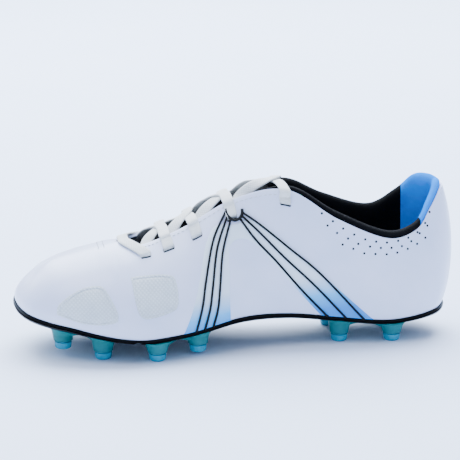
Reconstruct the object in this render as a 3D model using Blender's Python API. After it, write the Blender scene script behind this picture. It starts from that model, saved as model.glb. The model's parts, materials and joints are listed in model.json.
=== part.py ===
"""Left soccer cleat with moulded studs, built as separate solids.

Axes: the toe points to -X, the heel to +X, +Z is up and -Y is the lateral (outer) side. The studs rest on z = 0.
All sizes below are millimetres and are turned into metres when a mesh is written.

The upper is one parametric surface. A station number u runs from the toe tip (0) round either side to the
back of the heel (16). At each station a cubic curve climbs from the feather edge, where the upper meets the
plate (v = 0), to the top edge (v = 1): the ridge of the vamp, then the throat, then the collar. A third number
w is the distance outwards from that surface, so every layer of the shoe is a patch between two values of w.
"""
import math

import bmesh
import bpy
from mathutils import Matrix, Vector

MM = 0.001
GAP = 0.3
LATERAL = -1
MEDIAL = 1
SIDES = ((LATERAL, "lateral"), (MEDIAL, "medial"))
UP = Vector((0.0, 0.0, 1.0))

# Feather edge at each station: x, lateral half width, medial half width, height.
FEATHER = (
    (-142.0, 0.0, 0.0, 33.5),
    (-139.5, 13.0, 13.0, 30.8),
    (-133.0, 25.5, 24.5, 28.6),
    (-122.0, 34.5, 33.0, 26.3),
    (-108.0, 40.5, 38.5, 23.8),
    (-92.0, 45.0, 42.5, 20.0),
    (-76.0, 47.8, 45.0, 17.2),
    (-60.0, 48.0, 45.5, 16.4),
    (-33.0, 42.3, 39.0, 18.5),
    (0.0, 32.3, 31.0, 23.5),
    (30.0, 27.5, 28.0, 22.8),
    (60.0, 28.6, 29.0, 19.5),
    (90.0, 30.5, 31.0, 16.5),
    (110.0, 28.5, 28.5, 17.6),
    (126.0, 20.5, 20.5, 19.2),
    (133.8, 9.0, 9.0, 20.0),
    (135.6, 0.0, 0.0, 20.3),
)
# Top edge at each station: lateral x, half width, height, then the same three for the medial side.
TOP = (
    (-118.0, 0.0, 57.5, -118.0, 0.0, 57.5),
    (-116.5, 0.0, 58.0, -116.5, 0.0, 58.0),
    (-113.0, 0.0, 59.2, -113.0, 0.0, 59.2),
    (-106.0, 0.0, 61.2, -106.0, 0.0, 61.2),
    (-98.0, 0.0, 63.2, -98.0, 0.0, 63.2),
    (-89.0, 0.0, 65.2, -89.0, 0.0, 65.2),
    (-78.5, 0.0, 67.3, -78.5, 0.0, 67.3),
    (-64.0, 13.0, 67.5, -64.0, 13.0, 68.0),
    (-36.0, 12.5, 77.8, -36.0, 12.5, 78.5),
    (-4.0, 11.0, 94.5, -4.0, 11.5, 94.5),
    (28.0, 20.5, 101.5, 30.0, 20.0, 99.0),
    (60.0, 25.0, 82.5, 60.0, 24.5, 85.0),
    (92.0, 27.5, 69.2, 90.0, 26.5, 76.0),
    (112.0, 22.8, 72.6, 109.0, 23.0, 86.5),
    (122.5, 17.0, 85.0, 120.0, 16.5, 97.0),
    (130.5, 9.0, 95.0, 129.0, 9.0, 99.0),
    (133.8, 0.0, 97.5, 133.8, 0.0, 97.5),
)
# Fullness at each station: outward and upward pull at the feather edge, outward reach and drop at the top.
FULLNESS = (
    (0.5, 8.0, 12.0, 4.4),
    (1.0, 9.0, 13.5, 4.2),
    (1.5, 12.0, 18.0, 3.5),
    (2.0, 16.0, 23.0, 2.0),
    (2.5, 19.0, 26.0, 0.6),
    (3.0, 22.0, 28.0, 0.0),
    (3.0, 22.0, 28.0, 0.0),
    (2.0, 22.0, 17.0, 6.0),
    (3.5, 20.0, 13.0, 9.0),
    (4.0, 20.0, 11.0, 13.0),
    (3.0, 20.0, 9.0, 22.0),
    (2.5, 16.0, 4.0, 22.0),
    (3.0, 14.0, 2.0, 18.0),
    (4.0, 16.0, 4.0, 18.0),
    (5.5, 18.0, 6.0, 22.0),
    (7.0, 20.0, 8.5, 25.0),
    (7.5, 20.0, 9.5, 25.0),
)
# Height of the plate's underside along its centre line.
PLATE_LOW = (30.0, 26.0, 22.5, 19.0, 16.2, 14.2, 12.8, 12.5, 13.8, 17.2, 18.3, 15.4, 12.6, 12.5, 13.2, 15.0, 16.5)

HEEL = len(FEATHER) - 1
THROAT = 6.0

# Moves the last's own centre line so that the origin is in the middle of the finished boot in plan.
CENTRE_X = 0.9
CENTRE_Y = 1.25

# Sole
RIM_HEIGHT = 3.0
RIM_PROUD = 0.8
PLATE_THICK = 2.2
DISH_POWER = 2.6
TIP_FADE = 24.0
BOARD_INSET = 2.4
BOARD_THICK = 1.2
SOCK_INSET = 5.0
SOCK_THICK = 3.5

# Flex line across the ball of the foot
FLEX_X = -73.5
FLEX_Z = 12.2
FLEX_CLEAR = 0.35
FLEX_TILT = math.radians(26.5)
SOCK_SPLIT_X = -22.0

# Upper layers, as distances from the outer surface
UPPER_IN = -1.6
STIFFENER = (-2.2, -3.0)
LINING = (-3.5, -6.0)
TONGUE_FACE = (-3.8, -4.7)
TONGUE_BACK = (-5.2, -7.0)
TONGUE_SPAN = (6.75, 9.65)
THROAT_CROWN = 2.2
OVERLAY = (0.55, 1.05)
UNDER_RUN = (-2.2, -3.0)

# Studs: the tip's rings as radius and share of its height, the two groups of radii, and the rib
STUD_TIP_HEIGHT = 5.0
STUD_TIP_RADII = ((5.2, 1.0), (4.9, 0.35), (4.5, 0.1), (3.4, 0.0))
STUD_GROOVE_RADIUS = 5.6
STUD_BASE_RADIUS = 7.8
STUD_SIDES = 16
RIB_WIDTH = 5.0
RIB_HEIGHT = 2.6
# x, distance from the centre line on the lateral and medial sides, height of the tip above the floor
STUD_PAIRS = (
    ("toe", ((-113.0, 17.0, 18.0, 4.0), (-89.0, 29.6, 29.0, 0.0))),
    ("ball", ((-56.0, 38.5, 35.0, 0.0), (-29.5, 30.0, 28.0, 2.0))),
    ("heel", ((64.0, 16.5, 17.0, 0.0), (97.7, 20.7, 21.0, 0.0))),
)

# Lace slots: station span and height span of each, from the toe end
SLOT_V = (0.80, 0.84)
TOP_SLOT_V = (0.87, 0.90)
SLOTS = (
    (6.95, 7.21, SLOT_V),
    (7.49, 7.73, SLOT_V),
    (8.09, 8.30, SLOT_V),
    (8.79, 9.00, SLOT_V),
    (9.85, 10.07, TOP_SLOT_V),
)
STRAP_INSET_U = 0.02
STRAP_W = (0.75, 1.85)

# Outlines laid on the upper in side view, as x and height
FRONT_PAD = ((-117.5, 31.8), (-116.6, 37.0), (-110.7, 42.1), (-102.4, 46.8), (-94.7, 48.5), (-89.2, 48.1),
             (-86.0, 44.2), (-81.9, 36.5), (-80.5, 31.0), (-82.8, 27.6), (-92.8, 26.3), (-104.7, 27.6))
REAR_PAD = ((-71.5, 52.5), (-62.0, 53.3), (-52.5, 53.5), (-45.5, 52.3), (-43.6, 48.5), (-42.8, 41.5),
            (-44.0, 34.5), (-50.0, 31.5), (-60.5, 29.4), (-66.5, 30.6), (-69.5, 38.0))
BAND_OUTER = ((-39.5, 18.5), (-34.0, 32.0), (-28.5, 50.0), (-23.5, 68.0), (-16.5, 79.0), (-4.5, 80.0),
              (9.5, 82.0), (29.0, 66.5), (47.5, 50.0), (64.0, 34.5), (80.5, 19.5))
BAND_INNER = ((-9.5, 23.5), (-10.0, 38.0), (-9.5, 50.0), (-9.5, 60.0), (-8.0, 68.0), (-2.0, 71.5),
              (6.0, 69.5), (17.0, 58.5), (27.0, 46.5), (37.0, 35.0), (48.5, 22.0))
FRONT_CORDS = (((-13.0, 88.0), (-20.0, 71.0), (-25.5, 48.5), (-28.0, 34.0), (-31.5, 21.5)),
               ((-11.7, 83.8), (-18.0, 66.0), (-21.0, 44.0), (-23.0, 32.0), (-26.0, 21.5)),
               ((-9.3, 81.2), (-14.5, 64.0), (-16.5, 44.0), (-18.0, 32.0), (-20.5, 22.5)))
REAR_CORDS = (((0.0, 87.0), (12.0, 79.5), (29.5, 65.0), (49.0, 48.0), (73.0, 22.0)),
              ((-0.8, 83.2), (10.0, 75.0), (27.0, 58.5), (45.0, 41.0), (62.0, 22.5)),
              ((-3.2, 80.6), (8.0, 71.0), (20.5, 57.5), (37.0, 38.0), (51.5, 22.5)))
LOOP_PATH = ((-13.5, 90.0), (-11.5, 83.0), (-6.0, 79.5), (-0.8, 82.5), (0.3, 89.5))
CORD_RADIUS = 0.7
CORD_W = 2.15
LOOP_RADIUS = 0.9

WHITE = (0.80, 0.80, 0.86)
PAD_GREY = (0.66, 0.69, 0.68)
LACE_WHITE = (0.82, 0.83, 0.80)
BLACK = (0.02, 0.02, 0.025)
TEAL = (0.04, 0.38, 0.38)
CYAN = (0.02, 0.42, 0.68)
BLUE = (0.02, 0.30, 0.88)
BOARD_TAN = (0.45, 0.40, 0.32)
FOAM_GREY = (0.35, 0.36, 0.38)


# ---------------------------------------------------------------- the surface of the upper
def along(table, u, mirrored=()):
    """Catmull-Rom value of each column of a table at station u; the mirrored columns change sign past an end."""
    last = len(table) - 1
    i = min(max(int(math.floor(u)), 0), last - 1)
    t = u - i

    def row(k):
        if k < 0:
            return [-c if n in mirrored else c for n, c in enumerate(table[-k])]
        if k > last:
            return [-c if n in mirrored else c for n, c in enumerate(table[2 * last - k])]
        return table[k]

    p0, p1, p2, p3 = row(i - 1), row(i), row(i + 1), row(i + 2)
    out = []
    for a, b, c, d in zip(p0, p1, p2, p3):
        out.append(b + 0.5 * t * (c - a + t * (2 * a - 5 * b + 4 * c - d + t * (3 * (b - c) + d - a))))
    return out


def feather(side, u):
    """A point on the feather edge, where the upper meets the sole."""
    x, lateral, medial, z = along(FEATHER, u, mirrored=(1, 2))
    return Vector((x, side * (lateral if side == LATERAL else medial), z))


def top_edge(side, u):
    """A point on the top edge: the vamp's ridge, the throat edge or the topline."""
    values = along(TOP, u, mirrored=(1, 4))
    x, half, z = values[:3] if side == LATERAL else values[3:]
    if u <= THROAT:
        half = 0.0
    return Vector((x, side * half, z))


def outward(side, u):
    """Plan direction pointing out of the shoe at the feather edge."""
    step = 0.02
    run = feather(side, min(u + step, HEEL)) - feather(side, max(u - step, 0.0))
    if u < step:
        return Vector((-1.0, 0.0, 0.0))
    if u > HEEL - step:
        return Vector((1.0, 0.0, 0.0))
    return Vector((-side * run.y, side * run.x, 0.0)).normalized()


def wall_point(side, u, v):
    """Point of the outer wall, from the feather edge (v 0) to the top edge (v 1)."""
    out1, up1, reach, drop = along(FULLNESS, u)
    normal = outward(side, u)
    low = feather(side, u)
    high = top_edge(side, u)
    c1 = low + normal * out1 + UP * up1
    c2 = high + normal * reach - UP * drop
    s = 1.0 - v
    return low * s ** 3 + c1 * (3 * s * s * v) + c2 * (3 * s * v * v) + high * v ** 3


def wall_normal(side, u, v):
    """Outward direction of the wall; it stays in the middle plane on the centre line."""
    step = 0.01
    du = wall_point(side, min(u + step, HEEL), v) - wall_point(side, max(u - step, 0.0), v)
    dv = wall_point(side, u, v + step) - wall_point(side, u, v - step)
    normal = du.cross(dv)
    if normal.dot(outward(side, u) + UP) < 0:
        normal = -normal
    on_centre = u <= 0.0 or u >= HEEL or (u <= THROAT and v == 1.0)
    if on_centre:
        normal.y = 0.0
    return normal.normalized()


def wall(side, u, v, w):
    """Point of the wall moved outwards by w."""
    return wall_point(side, u, v) + wall_normal(side, u, v) * w


def locate(side, x, z):
    """Station and height on the wall that show at x and z in side view."""
    guesses = [(0.5 * i, 0.1 * j) for i in range(4, 33) for j in range(0, 11)]

    def miss(uv):
        p = wall_point(side, uv[0], uv[1])
        return (p.x - x) ** 2 + (p.z - z) ** 2

    u, v = min(guesses, key=miss)
    step = 0.005
    for _ in range(12):
        p = wall_point(side, u, v)
        pu = (wall_point(side, u + step, v) - p) / step
        pv = (wall_point(side, u, v + step) - p) / step
        det = pu.x * pv.z - pv.x * pu.z
        ex = x - p.x
        ez = z - p.z
        u = min(max(u + (ex * pv.z - pv.x * ez) / det, 0.5), HEEL - 0.1)
        v = min(max(v + (pu.x * ez - ex * pu.z) / det, 0.0), 1.0)
    return u, v


# ---------------------------------------------------------------- mesh helpers
def spread(low, high, count):
    """Evenly spaced values, both ends included."""
    return [low + (high - low) * i / count for i in range(count + 1)]


def add_slab(bm, outer, inner, skip=frozenset(), open_rim=lambda edge, i: False):
    """Two grids of points joined into a slab. A rim edge named open is left without its side face."""
    rows = len(outer) - 1
    cols = len(outer[0]) - 1
    a = [[bm.verts.new(p) for p in row] for row in outer]
    b = [[bm.verts.new(p) for p in row] for row in inner]

    def solid(i, j):
        return 0 <= i < rows and 0 <= j < cols and (i, j) not in skip

    for i in range(rows):
        for j in range(cols):
            if not solid(i, j):
                continue
            bm.faces.new((a[i][j], a[i + 1][j], a[i + 1][j + 1], a[i][j + 1]))
            bm.faces.new((b[i][j], b[i][j + 1], b[i + 1][j + 1], b[i + 1][j]))
            if not solid(i - 1, j) and not (i == 0 and open_rim("start", j)):
                bm.faces.new((a[i][j], a[i][j + 1], b[i][j + 1], b[i][j]))
            if not solid(i + 1, j) and not (i == rows - 1 and open_rim("end", j)):
                bm.faces.new((a[i + 1][j + 1], a[i + 1][j], b[i + 1][j], b[i + 1][j + 1]))
            if not solid(i, j - 1) and not (j == 0 and open_rim("low", i)):
                bm.faces.new((a[i + 1][j], a[i][j], b[i][j], b[i + 1][j]))
            if not solid(i, j + 1) and not (j == cols - 1 and open_rim("high", i)):
                bm.faces.new((a[i][j + 1], a[i + 1][j + 1], b[i + 1][j + 1], b[i][j + 1]))


def wall_slab(bm, side, us, vs, layer, skip=frozenset()):
    """A layer of the wall on one side; it is left open where it joins the other side's half."""
    outer = [[wall(side, u, v, layer[0]) for v in vs] for u in us]
    inner = [[wall(side, u, v, layer[1]) for v in vs] for u in us]

    def open_rim(edge, i):
        if edge == "start":
            return us[0] == 0.0
        if edge == "end":
            return us[-1] == HEEL
        if edge == "high":
            return vs[-1] == 1.0 and us[i + 1] <= THROAT
        return False

    add_slab(bm, outer, inner, skip, open_rim)


def keep_behind(bm, point, normal):
    """Cuts away what lies on the side of a plane that its normal points to, and caps the cut."""
    everything = bm.verts[:] + bm.edges[:] + bm.faces[:]
    bmesh.ops.bisect_plane(bm, geom=everything, dist=0.0001, plane_co=point, plane_no=normal, clear_outer=True)
    rim = [e for e in bm.edges if e.is_boundary]
    bmesh.ops.holes_fill(bm, edges=rim, sides=0)


def keep_forefoot(bm):
    """Keeps what swings with the forefoot: the space in front of a plane that leans forwards from the hinge."""
    normal = Vector((math.cos(FLEX_TILT), 0.0, math.sin(FLEX_TILT)))
    keep_behind(bm, Vector((FLEX_X - FLEX_CLEAR, 0.0, FLEX_Z)), normal)


def keep_rearfoot(bm):
    """Keeps what stays behind the flex line."""
    keep_behind(bm, Vector((FLEX_X + FLEX_CLEAR, 0.0, 0.0)), Vector((-1.0, 0.0, 0.0)))


def material(name, colour, roughness, metallic):
    """A plain material for one sub-part."""
    mat = bpy.data.materials.new(name)
    mat.use_nodes = True
    shader = mat.node_tree.nodes["Principled BSDF"]
    shader.inputs["Base Color"].default_value = (*colour, 1.0)
    shader.inputs["Roughness"].default_value = roughness
    shader.inputs["Metallic"].default_value = metallic
    return mat


def island_from(face, seen):
    """The faces that a face is joined to, itself included."""
    island = [face]
    seen.add(face)
    for current in island:
        for edge in current.edges:
            for other in edge.link_faces:
                if other not in seen:
                    seen.add(other)
                    island.append(other)
    return island


def signed_volume(faces):
    """Volume of a closed set of faces; negative when they point inwards."""
    total = 0.0
    for face in faces:
        corners = [v.co for v in face.verts]
        for a, b in zip(corners[1:], corners[2:]):
            total += corners[0].dot(a.cross(b)) / 6.0
    return total


def turn_outwards(bm):
    """Gives each separate body faces that point out of it."""
    bmesh.ops.recalc_face_normals(bm, faces=bm.faces[:])
    seen = set()
    for face in bm.faces:
        if face in seen:
            continue
        island = island_from(face, seen)
        if signed_volume(island) < 0.0:
            bmesh.ops.reverse_faces(bm, faces=island)


def finish(name, bm, colour, roughness=0.5, parent=None, smooth=True):
    """Writes the mesh as a named object in metres, with its faces turned outwards."""
    bmesh.ops.remove_doubles(bm, verts=bm.verts[:], dist=0.0005)
    turn_outwards(bm)
    centred = Matrix.Scale(MM, 4) @ Matrix.Translation((CENTRE_X, CENTRE_Y, 0.0))
    bmesh.ops.transform(bm, matrix=centred, verts=bm.verts[:])
    mesh = bpy.data.meshes.new(name)
    bm.to_mesh(mesh)
    bm.free()
    if smooth:
        mesh.shade_smooth()
        mesh.set_sharp_from_angle(angle=math.radians(35.0))
    obj = bpy.data.objects.new(name, mesh)
    bpy.context.scene.collection.objects.link(obj)
    mesh.materials.append(material(name, colour, roughness, 0.0))
    if parent is not None:
        place = obj.matrix_world.copy()
        obj.parent = parent
        obj.matrix_parent_inverse = parent.matrix_world.inverted()
        obj.matrix_world = place
    return obj


def pivot(name, x, z):
    """An empty on a joint's axis, which runs along Y."""
    empty = bpy.data.objects.new(name, None)
    empty.location = ((x + CENTRE_X) * MM, CENTRE_Y * MM, z * MM)
    empty.empty_display_size = 0.02
    bpy.context.scene.collection.objects.link(empty)
    bpy.context.view_layer.update()
    return empty


def tube(bm, points, radius, sides=6):
    """A round cord along points, closed at both ends."""
    rings = []
    for i, point in enumerate(points):
        before = points[max(i - 1, 0)]
        after = points[min(i + 1, len(points) - 1)]
        run = (after - before).normalized()
        across = run.cross(UP).normalized()
        over = across.cross(run).normalized()
        turns = [2 * math.pi * k / sides for k in range(sides)]
        rings.append([bm.verts.new(point + (across * math.cos(a) + over * math.sin(a)) * radius) for a in turns])
    for low, high in zip(rings, rings[1:]):
        for k in range(sides):
            n = (k + 1) % sides
            bm.faces.new((low[k], low[n], high[n], high[k]))
    bm.faces.new(rings[0][::-1])
    bm.faces.new(rings[-1])


def smooth_path(points, count):
    """Evenly numbered points on a smooth curve through the given ones."""
    last = len(points) - 1
    padded = [tuple(2 * a - b for a, b in zip(points[0], points[1]))] + list(points)
    padded.append(tuple(2 * a - b for a, b in zip(points[-1], points[-2])))
    out = []
    for k in range(count + 1):
        u = last * k / count
        i = min(int(u), last - 1)
        t = u - i
        p0, p1, p2, p3 = padded[i:i + 4]
        out.append([b + 0.5 * t * (c - a + t * (2 * a - 5 * b + 4 * c - d + t * (3 * (b - c) + d - a)))
                    for a, b, c, d in zip(p0, p1, p2, p3)])
    return out


# ---------------------------------------------------------------- the sole
def sole_point(u, t, inset, lift, upper_face):
    """A point on the dished plate: t runs from -1 on the lateral edge to 1 on the medial edge."""
    edges = [feather(side, u) - outward(side, u) * inset for side, _ in SIDES]
    plan = edges[0].lerp(edges[1], 0.5 * (t + 1.0))
    low = along([(z,) for z in PLATE_LOW], u)[0]
    edge_z = plan.z - GAP - (0.0 if upper_face else RIM_HEIGHT)
    middle_z = low + (PLATE_THICK if upper_face else 0.0)
    fade = min(1.0, (edges[1] - edges[0]).length / TIP_FADE)
    share = (1.0 - abs(t) ** DISH_POWER) * fade
    return Vector((plan.x, plan.y, edge_z + (middle_z - edge_z) * share + lift))


def station_at(x):
    """Station whose feather edge lies at x."""
    low, high = 0.0, float(HEEL)
    for _ in range(30):
        middle = 0.5 * (low + high)
        if feather(LATERAL, middle).x < x:
            low = middle
        else:
            high = middle
    return 0.5 * (low + high)


def plate_under(x, y):
    """Height of the plate's underside at a place in plan."""
    u = station_at(x)
    lateral = feather(LATERAL, u).y
    medial = feather(MEDIAL, u).y
    t = 2.0 * (y - lateral) / (medial - lateral) - 1.0
    return sole_point(u, max(-1.0, min(1.0, t)), 0.0, 0.0, False).z


def sole_layer(bm, inset, low, high, us, ts):
    """A full-length sole part between two lifts; the plate itself uses its own two faces."""
    if high is None:
        bottom = [[sole_point(u, t, inset, 0.0, False) for t in ts] for u in us]
        top = [[sole_point(u, t, inset, 0.0, True) for t in ts] for u in us]
    else:
        bottom = [[sole_point(u, t, inset, low, True) for t in ts] for u in us]
        top = [[sole_point(u, t, inset, high, True) for t in ts] for u in us]

    def at_tip(edge, i):
        return (edge == "start" and us[0] == 0.0) or (edge == "end" and us[-1] == HEEL)

    add_slab(bm, top, bottom, open_rim=at_tip)
    bmesh.ops.remove_doubles(bm, verts=bm.verts[:], dist=0.0005)


def build_sole(forefoot, sock_pivot):
    """The sole plate, the insole boards and the sockliner, each split where the boot bends."""
    toe_us = spread(0.0, 1.0, 2) + spread(1.0, 7.0, 9)[1:]
    rear_us = spread(5.5, 15.0, 15) + spread(15.0, float(HEEL), 2)[1:]
    ts = (-1.0, -0.8, -0.5, 0.0, 0.5, 0.8, 1.0)
    layers = (
        ("plate", -RIM_PROUD, None, None, BLACK, 0.35),
        ("insole_board", BOARD_INSET, GAP, GAP + BOARD_THICK, BOARD_TAN, 0.9),
    )
    for name, inset, low, high, colour, roughness in layers:
        bm = bmesh.new()
        sole_layer(bm, inset, low, high, toe_us, ts)
        keep_forefoot(bm)
        finish("forefoot_" + name, bm, colour, roughness, forefoot)
        bm = bmesh.new()
        sole_layer(bm, inset, low, high, rear_us, ts)
        keep_rearfoot(bm)
        finish("rear_" + name, bm, colour, roughness)
    base = 2 * GAP + BOARD_THICK
    bm = bmesh.new()
    sole_layer(bm, SOCK_INSET, base, base + SOCK_THICK, toe_us, ts)
    keep_forefoot(bm)
    finish("sockliner_forefoot", bm, BLACK, 0.95, forefoot)
    bm = bmesh.new()
    sole_layer(bm, SOCK_INSET, base, base + SOCK_THICK, rear_us, ts)
    keep_rearfoot(bm)
    keep_behind(bm, Vector((SOCK_SPLIT_X - FLEX_CLEAR, 0.0, 0.0)), Vector((1.0, 0.0, 0.0)))
    finish("sockliner_ball", bm, BLACK, 0.95)
    bm = bmesh.new()
    sole_layer(bm, SOCK_INSET, base, base + SOCK_THICK, rear_us, ts)
    keep_behind(bm, Vector((SOCK_SPLIT_X + FLEX_CLEAR, 0.0, 0.0)), Vector((-1.0, 0.0, 0.0)))
    finish("sockliner_heel", bm, BLACK, 0.95, sock_pivot)


def turned(bm, x, y, rings):
    """A turned body: rings of (radius, height function), from the top down."""
    turns = [2 * math.pi * k / STUD_SIDES for k in range(STUD_SIDES)]
    made = []
    for radius, height in rings:
        ring = []
        for a in turns:
            px = x + radius * math.cos(a)
            py = y + radius * math.sin(a)
            ring.append(bm.verts.new((px, py, height(px, py))))
        made.append(ring)
    for low, high in zip(made, made[1:]):
        for k in range(STUD_SIDES):
            n = (k + 1) % STUD_SIDES
            bm.faces.new((low[k], low[n], high[n], high[k]))
    bm.faces.new(made[0])
    bm.faces.new(made[-1][::-1])


def level(z):
    """A height function that is the same everywhere."""
    return lambda px, py: z


def under_plate(px, py):
    """Height of a stud base's top face, just clear of the plate."""
    return plate_under(px, py) - GAP


def stud_base(x, y, tip):
    """The flared teal base of one stud, its top following the plate."""
    bm = bmesh.new()
    foot = tip + STUD_TIP_HEIGHT
    root = plate_under(x, y) - GAP
    shoulder = foot + 0.45 * (root - foot)
    rings = ((0.45 * STUD_BASE_RADIUS, under_plate), (STUD_BASE_RADIUS, under_plate),
             (STUD_BASE_RADIUS - 0.9, lambda px, py: under_plate(px, py) - 1.8),
             (STUD_GROOVE_RADIUS + 0.5, level(shoulder)), (STUD_GROOVE_RADIUS, level(foot)))
    turned(bm, x, y, rings)
    return bm


def stud_rib(start, end):
    """The rib that joins two studs along the plate."""
    bm = bmesh.new()
    a = Vector((start[0], start[1], 0.0))
    b = Vector((end[0], end[1], 0.0))
    across = (b - a).cross(UP).normalized() * (0.5 * RIB_WIDTH)
    top = []
    bottom = []
    for t in spread(0.12, 0.88, 5):
        row = [a.lerp(b, t) + across, a.lerp(b, t) - across]
        top.append([Vector((p.x, p.y, under_plate(p.x, p.y) - 0.01)) for p in row])
        bottom.append([Vector((p.x, p.y, under_plate(p.x, p.y) - RIB_HEIGHT)) for p in row])
    add_slab(bm, top, bottom)
    return bm


def join_solid(target, tool):
    """Boolean union of tool into target, applied."""
    union = target.modifiers.new("union", "BOOLEAN")
    union.operation = "UNION"
    union.solver = "EXACT"
    union.object = tool
    bpy.context.view_layer.update()
    joined = bpy.data.meshes.new_from_object(target.evaluated_get(bpy.context.evaluated_depsgraph_get()))
    target.modifiers.clear()
    target.data = joined
    bpy.data.objects.remove(tool)


def build_studs(forefoot):
    """Six stud frames, each two bases and a rib in one body, and twelve stud tips."""
    for group, studs in STUD_PAIRS:
        parent = forefoot if group == "toe" else None
        for side, side_name in SIDES:
            places = [(x, side * (lateral if side == LATERAL else medial), tip) for x, lateral, medial, tip in studs]
            frame = finish("stud_frame_%s_%s" % (group, side_name), stud_base(*places[0]), TEAL, 0.4, parent, False)
            for bm in (stud_rib(places[0], places[1]), stud_base(*places[1])):
                join_solid(frame, finish("addition", bm, TEAL, 0.4, None, False))
            for end, (x, y, tip) in zip(("front", "rear"), places):
                bm = bmesh.new()
                rings = [(STUD_TIP_RADII[0][0], level(tip + STUD_TIP_HEIGHT - GAP))]
                rings += [(r, level(tip + share * (STUD_TIP_HEIGHT - 1.5))) for r, share in STUD_TIP_RADII]
                turned(bm, x, y, rings)
                finish("stud_tip_%s_%s_%s" % (group, side_name, end), bm, CYAN, 0.35, parent)


# ---------------------------------------------------------------- the upper
def build_vamp(forefoot):
    """The vamp, the wedge that flexes behind it, and the toe puff inside."""
    us = spread(0.0, 1.0, 3) + spread(1.0, THROAT, 8)[1:] + spread(THROAT, 7.0, 4)[1:]
    vs = spread(0.0, 1.0, 9)
    for name, in_front, parent in (("vamp", True, forefoot), ("vamp_flex_zone", False, None)):
        bm = bmesh.new()
        for side, _ in SIDES:
            wall_slab(bm, side, us, vs, (0.0, UPPER_IN))
        bmesh.ops.remove_doubles(bm, verts=bm.verts[:], dist=0.0005)
        if in_front:
            keep_forefoot(bm)
        else:
            lean = Vector((-math.cos(FLEX_TILT), 0.0, -math.sin(FLEX_TILT)))
            keep_behind(bm, Vector((FLEX_X - FLEX_CLEAR + GAP, 0.0, FLEX_Z)), lean)
            keep_behind(bm, Vector((FLEX_X + FLEX_CLEAR - GAP, 0.0, 0.0)), Vector((1.0, 0.0, 0.0)))
        finish(name, bm, WHITE, 0.45, parent)
    bm = bmesh.new()
    for side, _ in SIDES:
        wall_slab(bm, side, spread(0.0, 3.5, 7), spread(0.08, 1.0, 6), STIFFENER)
    finish("toe_puff", bm, BOARD_TAN, 0.9, forefoot)


def build_quarters():
    """The two sides of the upper with their lace slots."""
    slot_us = [u for slot in SLOTS for u in slot[:2]]
    us = sorted(spread(6.0, 6.8, 3) + slot_us + [7.35, 7.9, 8.55, 9.3, 9.6] + spread(10.5, float(HEEL), 12))
    vs = [0.0, 0.12, 0.26, 0.42, 0.58, 0.70, SLOT_V[0], SLOT_V[1], TOP_SLOT_V[0], TOP_SLOT_V[1], 1.0]
    skip = set()
    for start, _, (low, _) in SLOTS:
        skip.add((us.index(start), vs.index(low)))
    for side, side_name in SIDES:
        bm = bmesh.new()
        outer = [[wall(side, u, v, 0.0) for v in vs] for u in us]
        inner = [[wall(side, u, v, UPPER_IN) for v in vs] for u in us]
        add_slab(bm, outer, inner, skip)
        keep_rearfoot(bm)
        keep_behind(bm, Vector((0.0, side * 0.5 * GAP, 0.0)), Vector((0.0, -side, 0.0)))
        finish("quarter_" + side_name, bm, WHITE, 0.45)


def build_heel_layers():
    """The heel counter, the collar foam and the linings."""
    for name, start, vs, layer, colour in (
            ("heel_counter", 12.6, spread(0.06, 0.60, 4), STIFFENER, BOARD_TAN),
            ("collar_foam", 10.2, spread(0.66, 0.97, 2), STIFFENER, FOAM_GREY),
            ("heel_lining", 13.3, spread(0.34, 1.05, 5), LINING, BLUE)):
        bm = bmesh.new()
        for side, _ in SIDES:
            wall_slab(bm, side, spread(start, float(HEEL), round(1.7 * (HEEL - start))), vs, layer)
        finish(name, bm, colour, 0.85)
    for side, side_name in SIDES:
        bm = bmesh.new()
        wall_slab(bm, side, spread(10.2, 13.25, 7), spread(0.34, 1.06, 5), LINING)
        finish("collar_lining_" + side_name, bm, BLACK, 0.9)


def tongue_row(u, w):
    """Points across the tongue at one station: under both eyestays, with an arch between them."""
    lateral = [wall(LATERAL, u, v, w) for v in (0.80, 0.90, 1.0)]
    medial = [wall(MEDIAL, u, v, w) for v in (1.0, 0.90, 0.80)]
    crown = 0.5 * (lateral[-1] + medial[0]) + UP * THROAT_CROWN
    return lateral + [crown] + medial


def build_tongue(tongue_pivot):
    """The tongue's padded face and its lining."""
    us = spread(*TONGUE_SPAN, 9)
    for name, layer, colour in (("tongue", TONGUE_FACE, WHITE), ("tongue_lining", TONGUE_BACK, BLACK)):
        bm = bmesh.new()
        add_slab(bm, [tongue_row(u, layer[0]) for u in us], [tongue_row(u, layer[1]) for u in us])
        keep_rearfoot(bm)
        finish(name, bm, colour, 0.8, tongue_pivot)


# ---------------------------------------------------------------- what is laid on the upper
def patch(bm, side, outline, layer, count, rings):
    """A closed patch on the wall inside a smooth outline in side view."""
    looped = list(outline) + [outline[0]]
    rim = smooth_path(looped, count)[:-1]
    centre = [sum(p[k] for p in rim) / count for k in (0, 1)]
    faces = []
    for w in layer:
        hub = bm.verts.new(wall(side, *locate(side, *centre), w))
        loops = []
        for ring in range(1, rings + 1):
            share = ring / rings
            loops.append([bm.verts.new(wall(side, *locate(side, *[c + (p[k] - c) * share for k, c in
                                                                 enumerate(centre)]), w)) for p in rim])
        for k in range(count):
            n = (k + 1) % count
            bm.faces.new((hub, loops[0][k], loops[0][n]))
            for low, high in zip(loops, loops[1:]):
                bm.faces.new((low[k], high[k], high[n], low[n]))
        faces.append(loops[-1])
    for k in range(count):
        n = (k + 1) % count
        bm.faces.new((faces[0][k], faces[0][n], faces[1][n], faces[1][k]))


def band(bm, side, layer):
    """The inverted V strip on the wall between its two edges given in side view."""
    outer, inner = [smooth_path(edge, 20) for edge in (BAND_OUTER, BAND_INNER)]
    grids = []
    for w in layer:
        grid = []
        for a, b in zip(outer, inner):
            row = [[a[k] + (b[k] - a[k]) * s for k in (0, 1)] for s in spread(0.0, 1.0, 4)]
            grid.append([wall(side, *locate(side, *p), w) for p in row])
        grids.append(grid)
    add_slab(bm, grids[0], grids[1])


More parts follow.
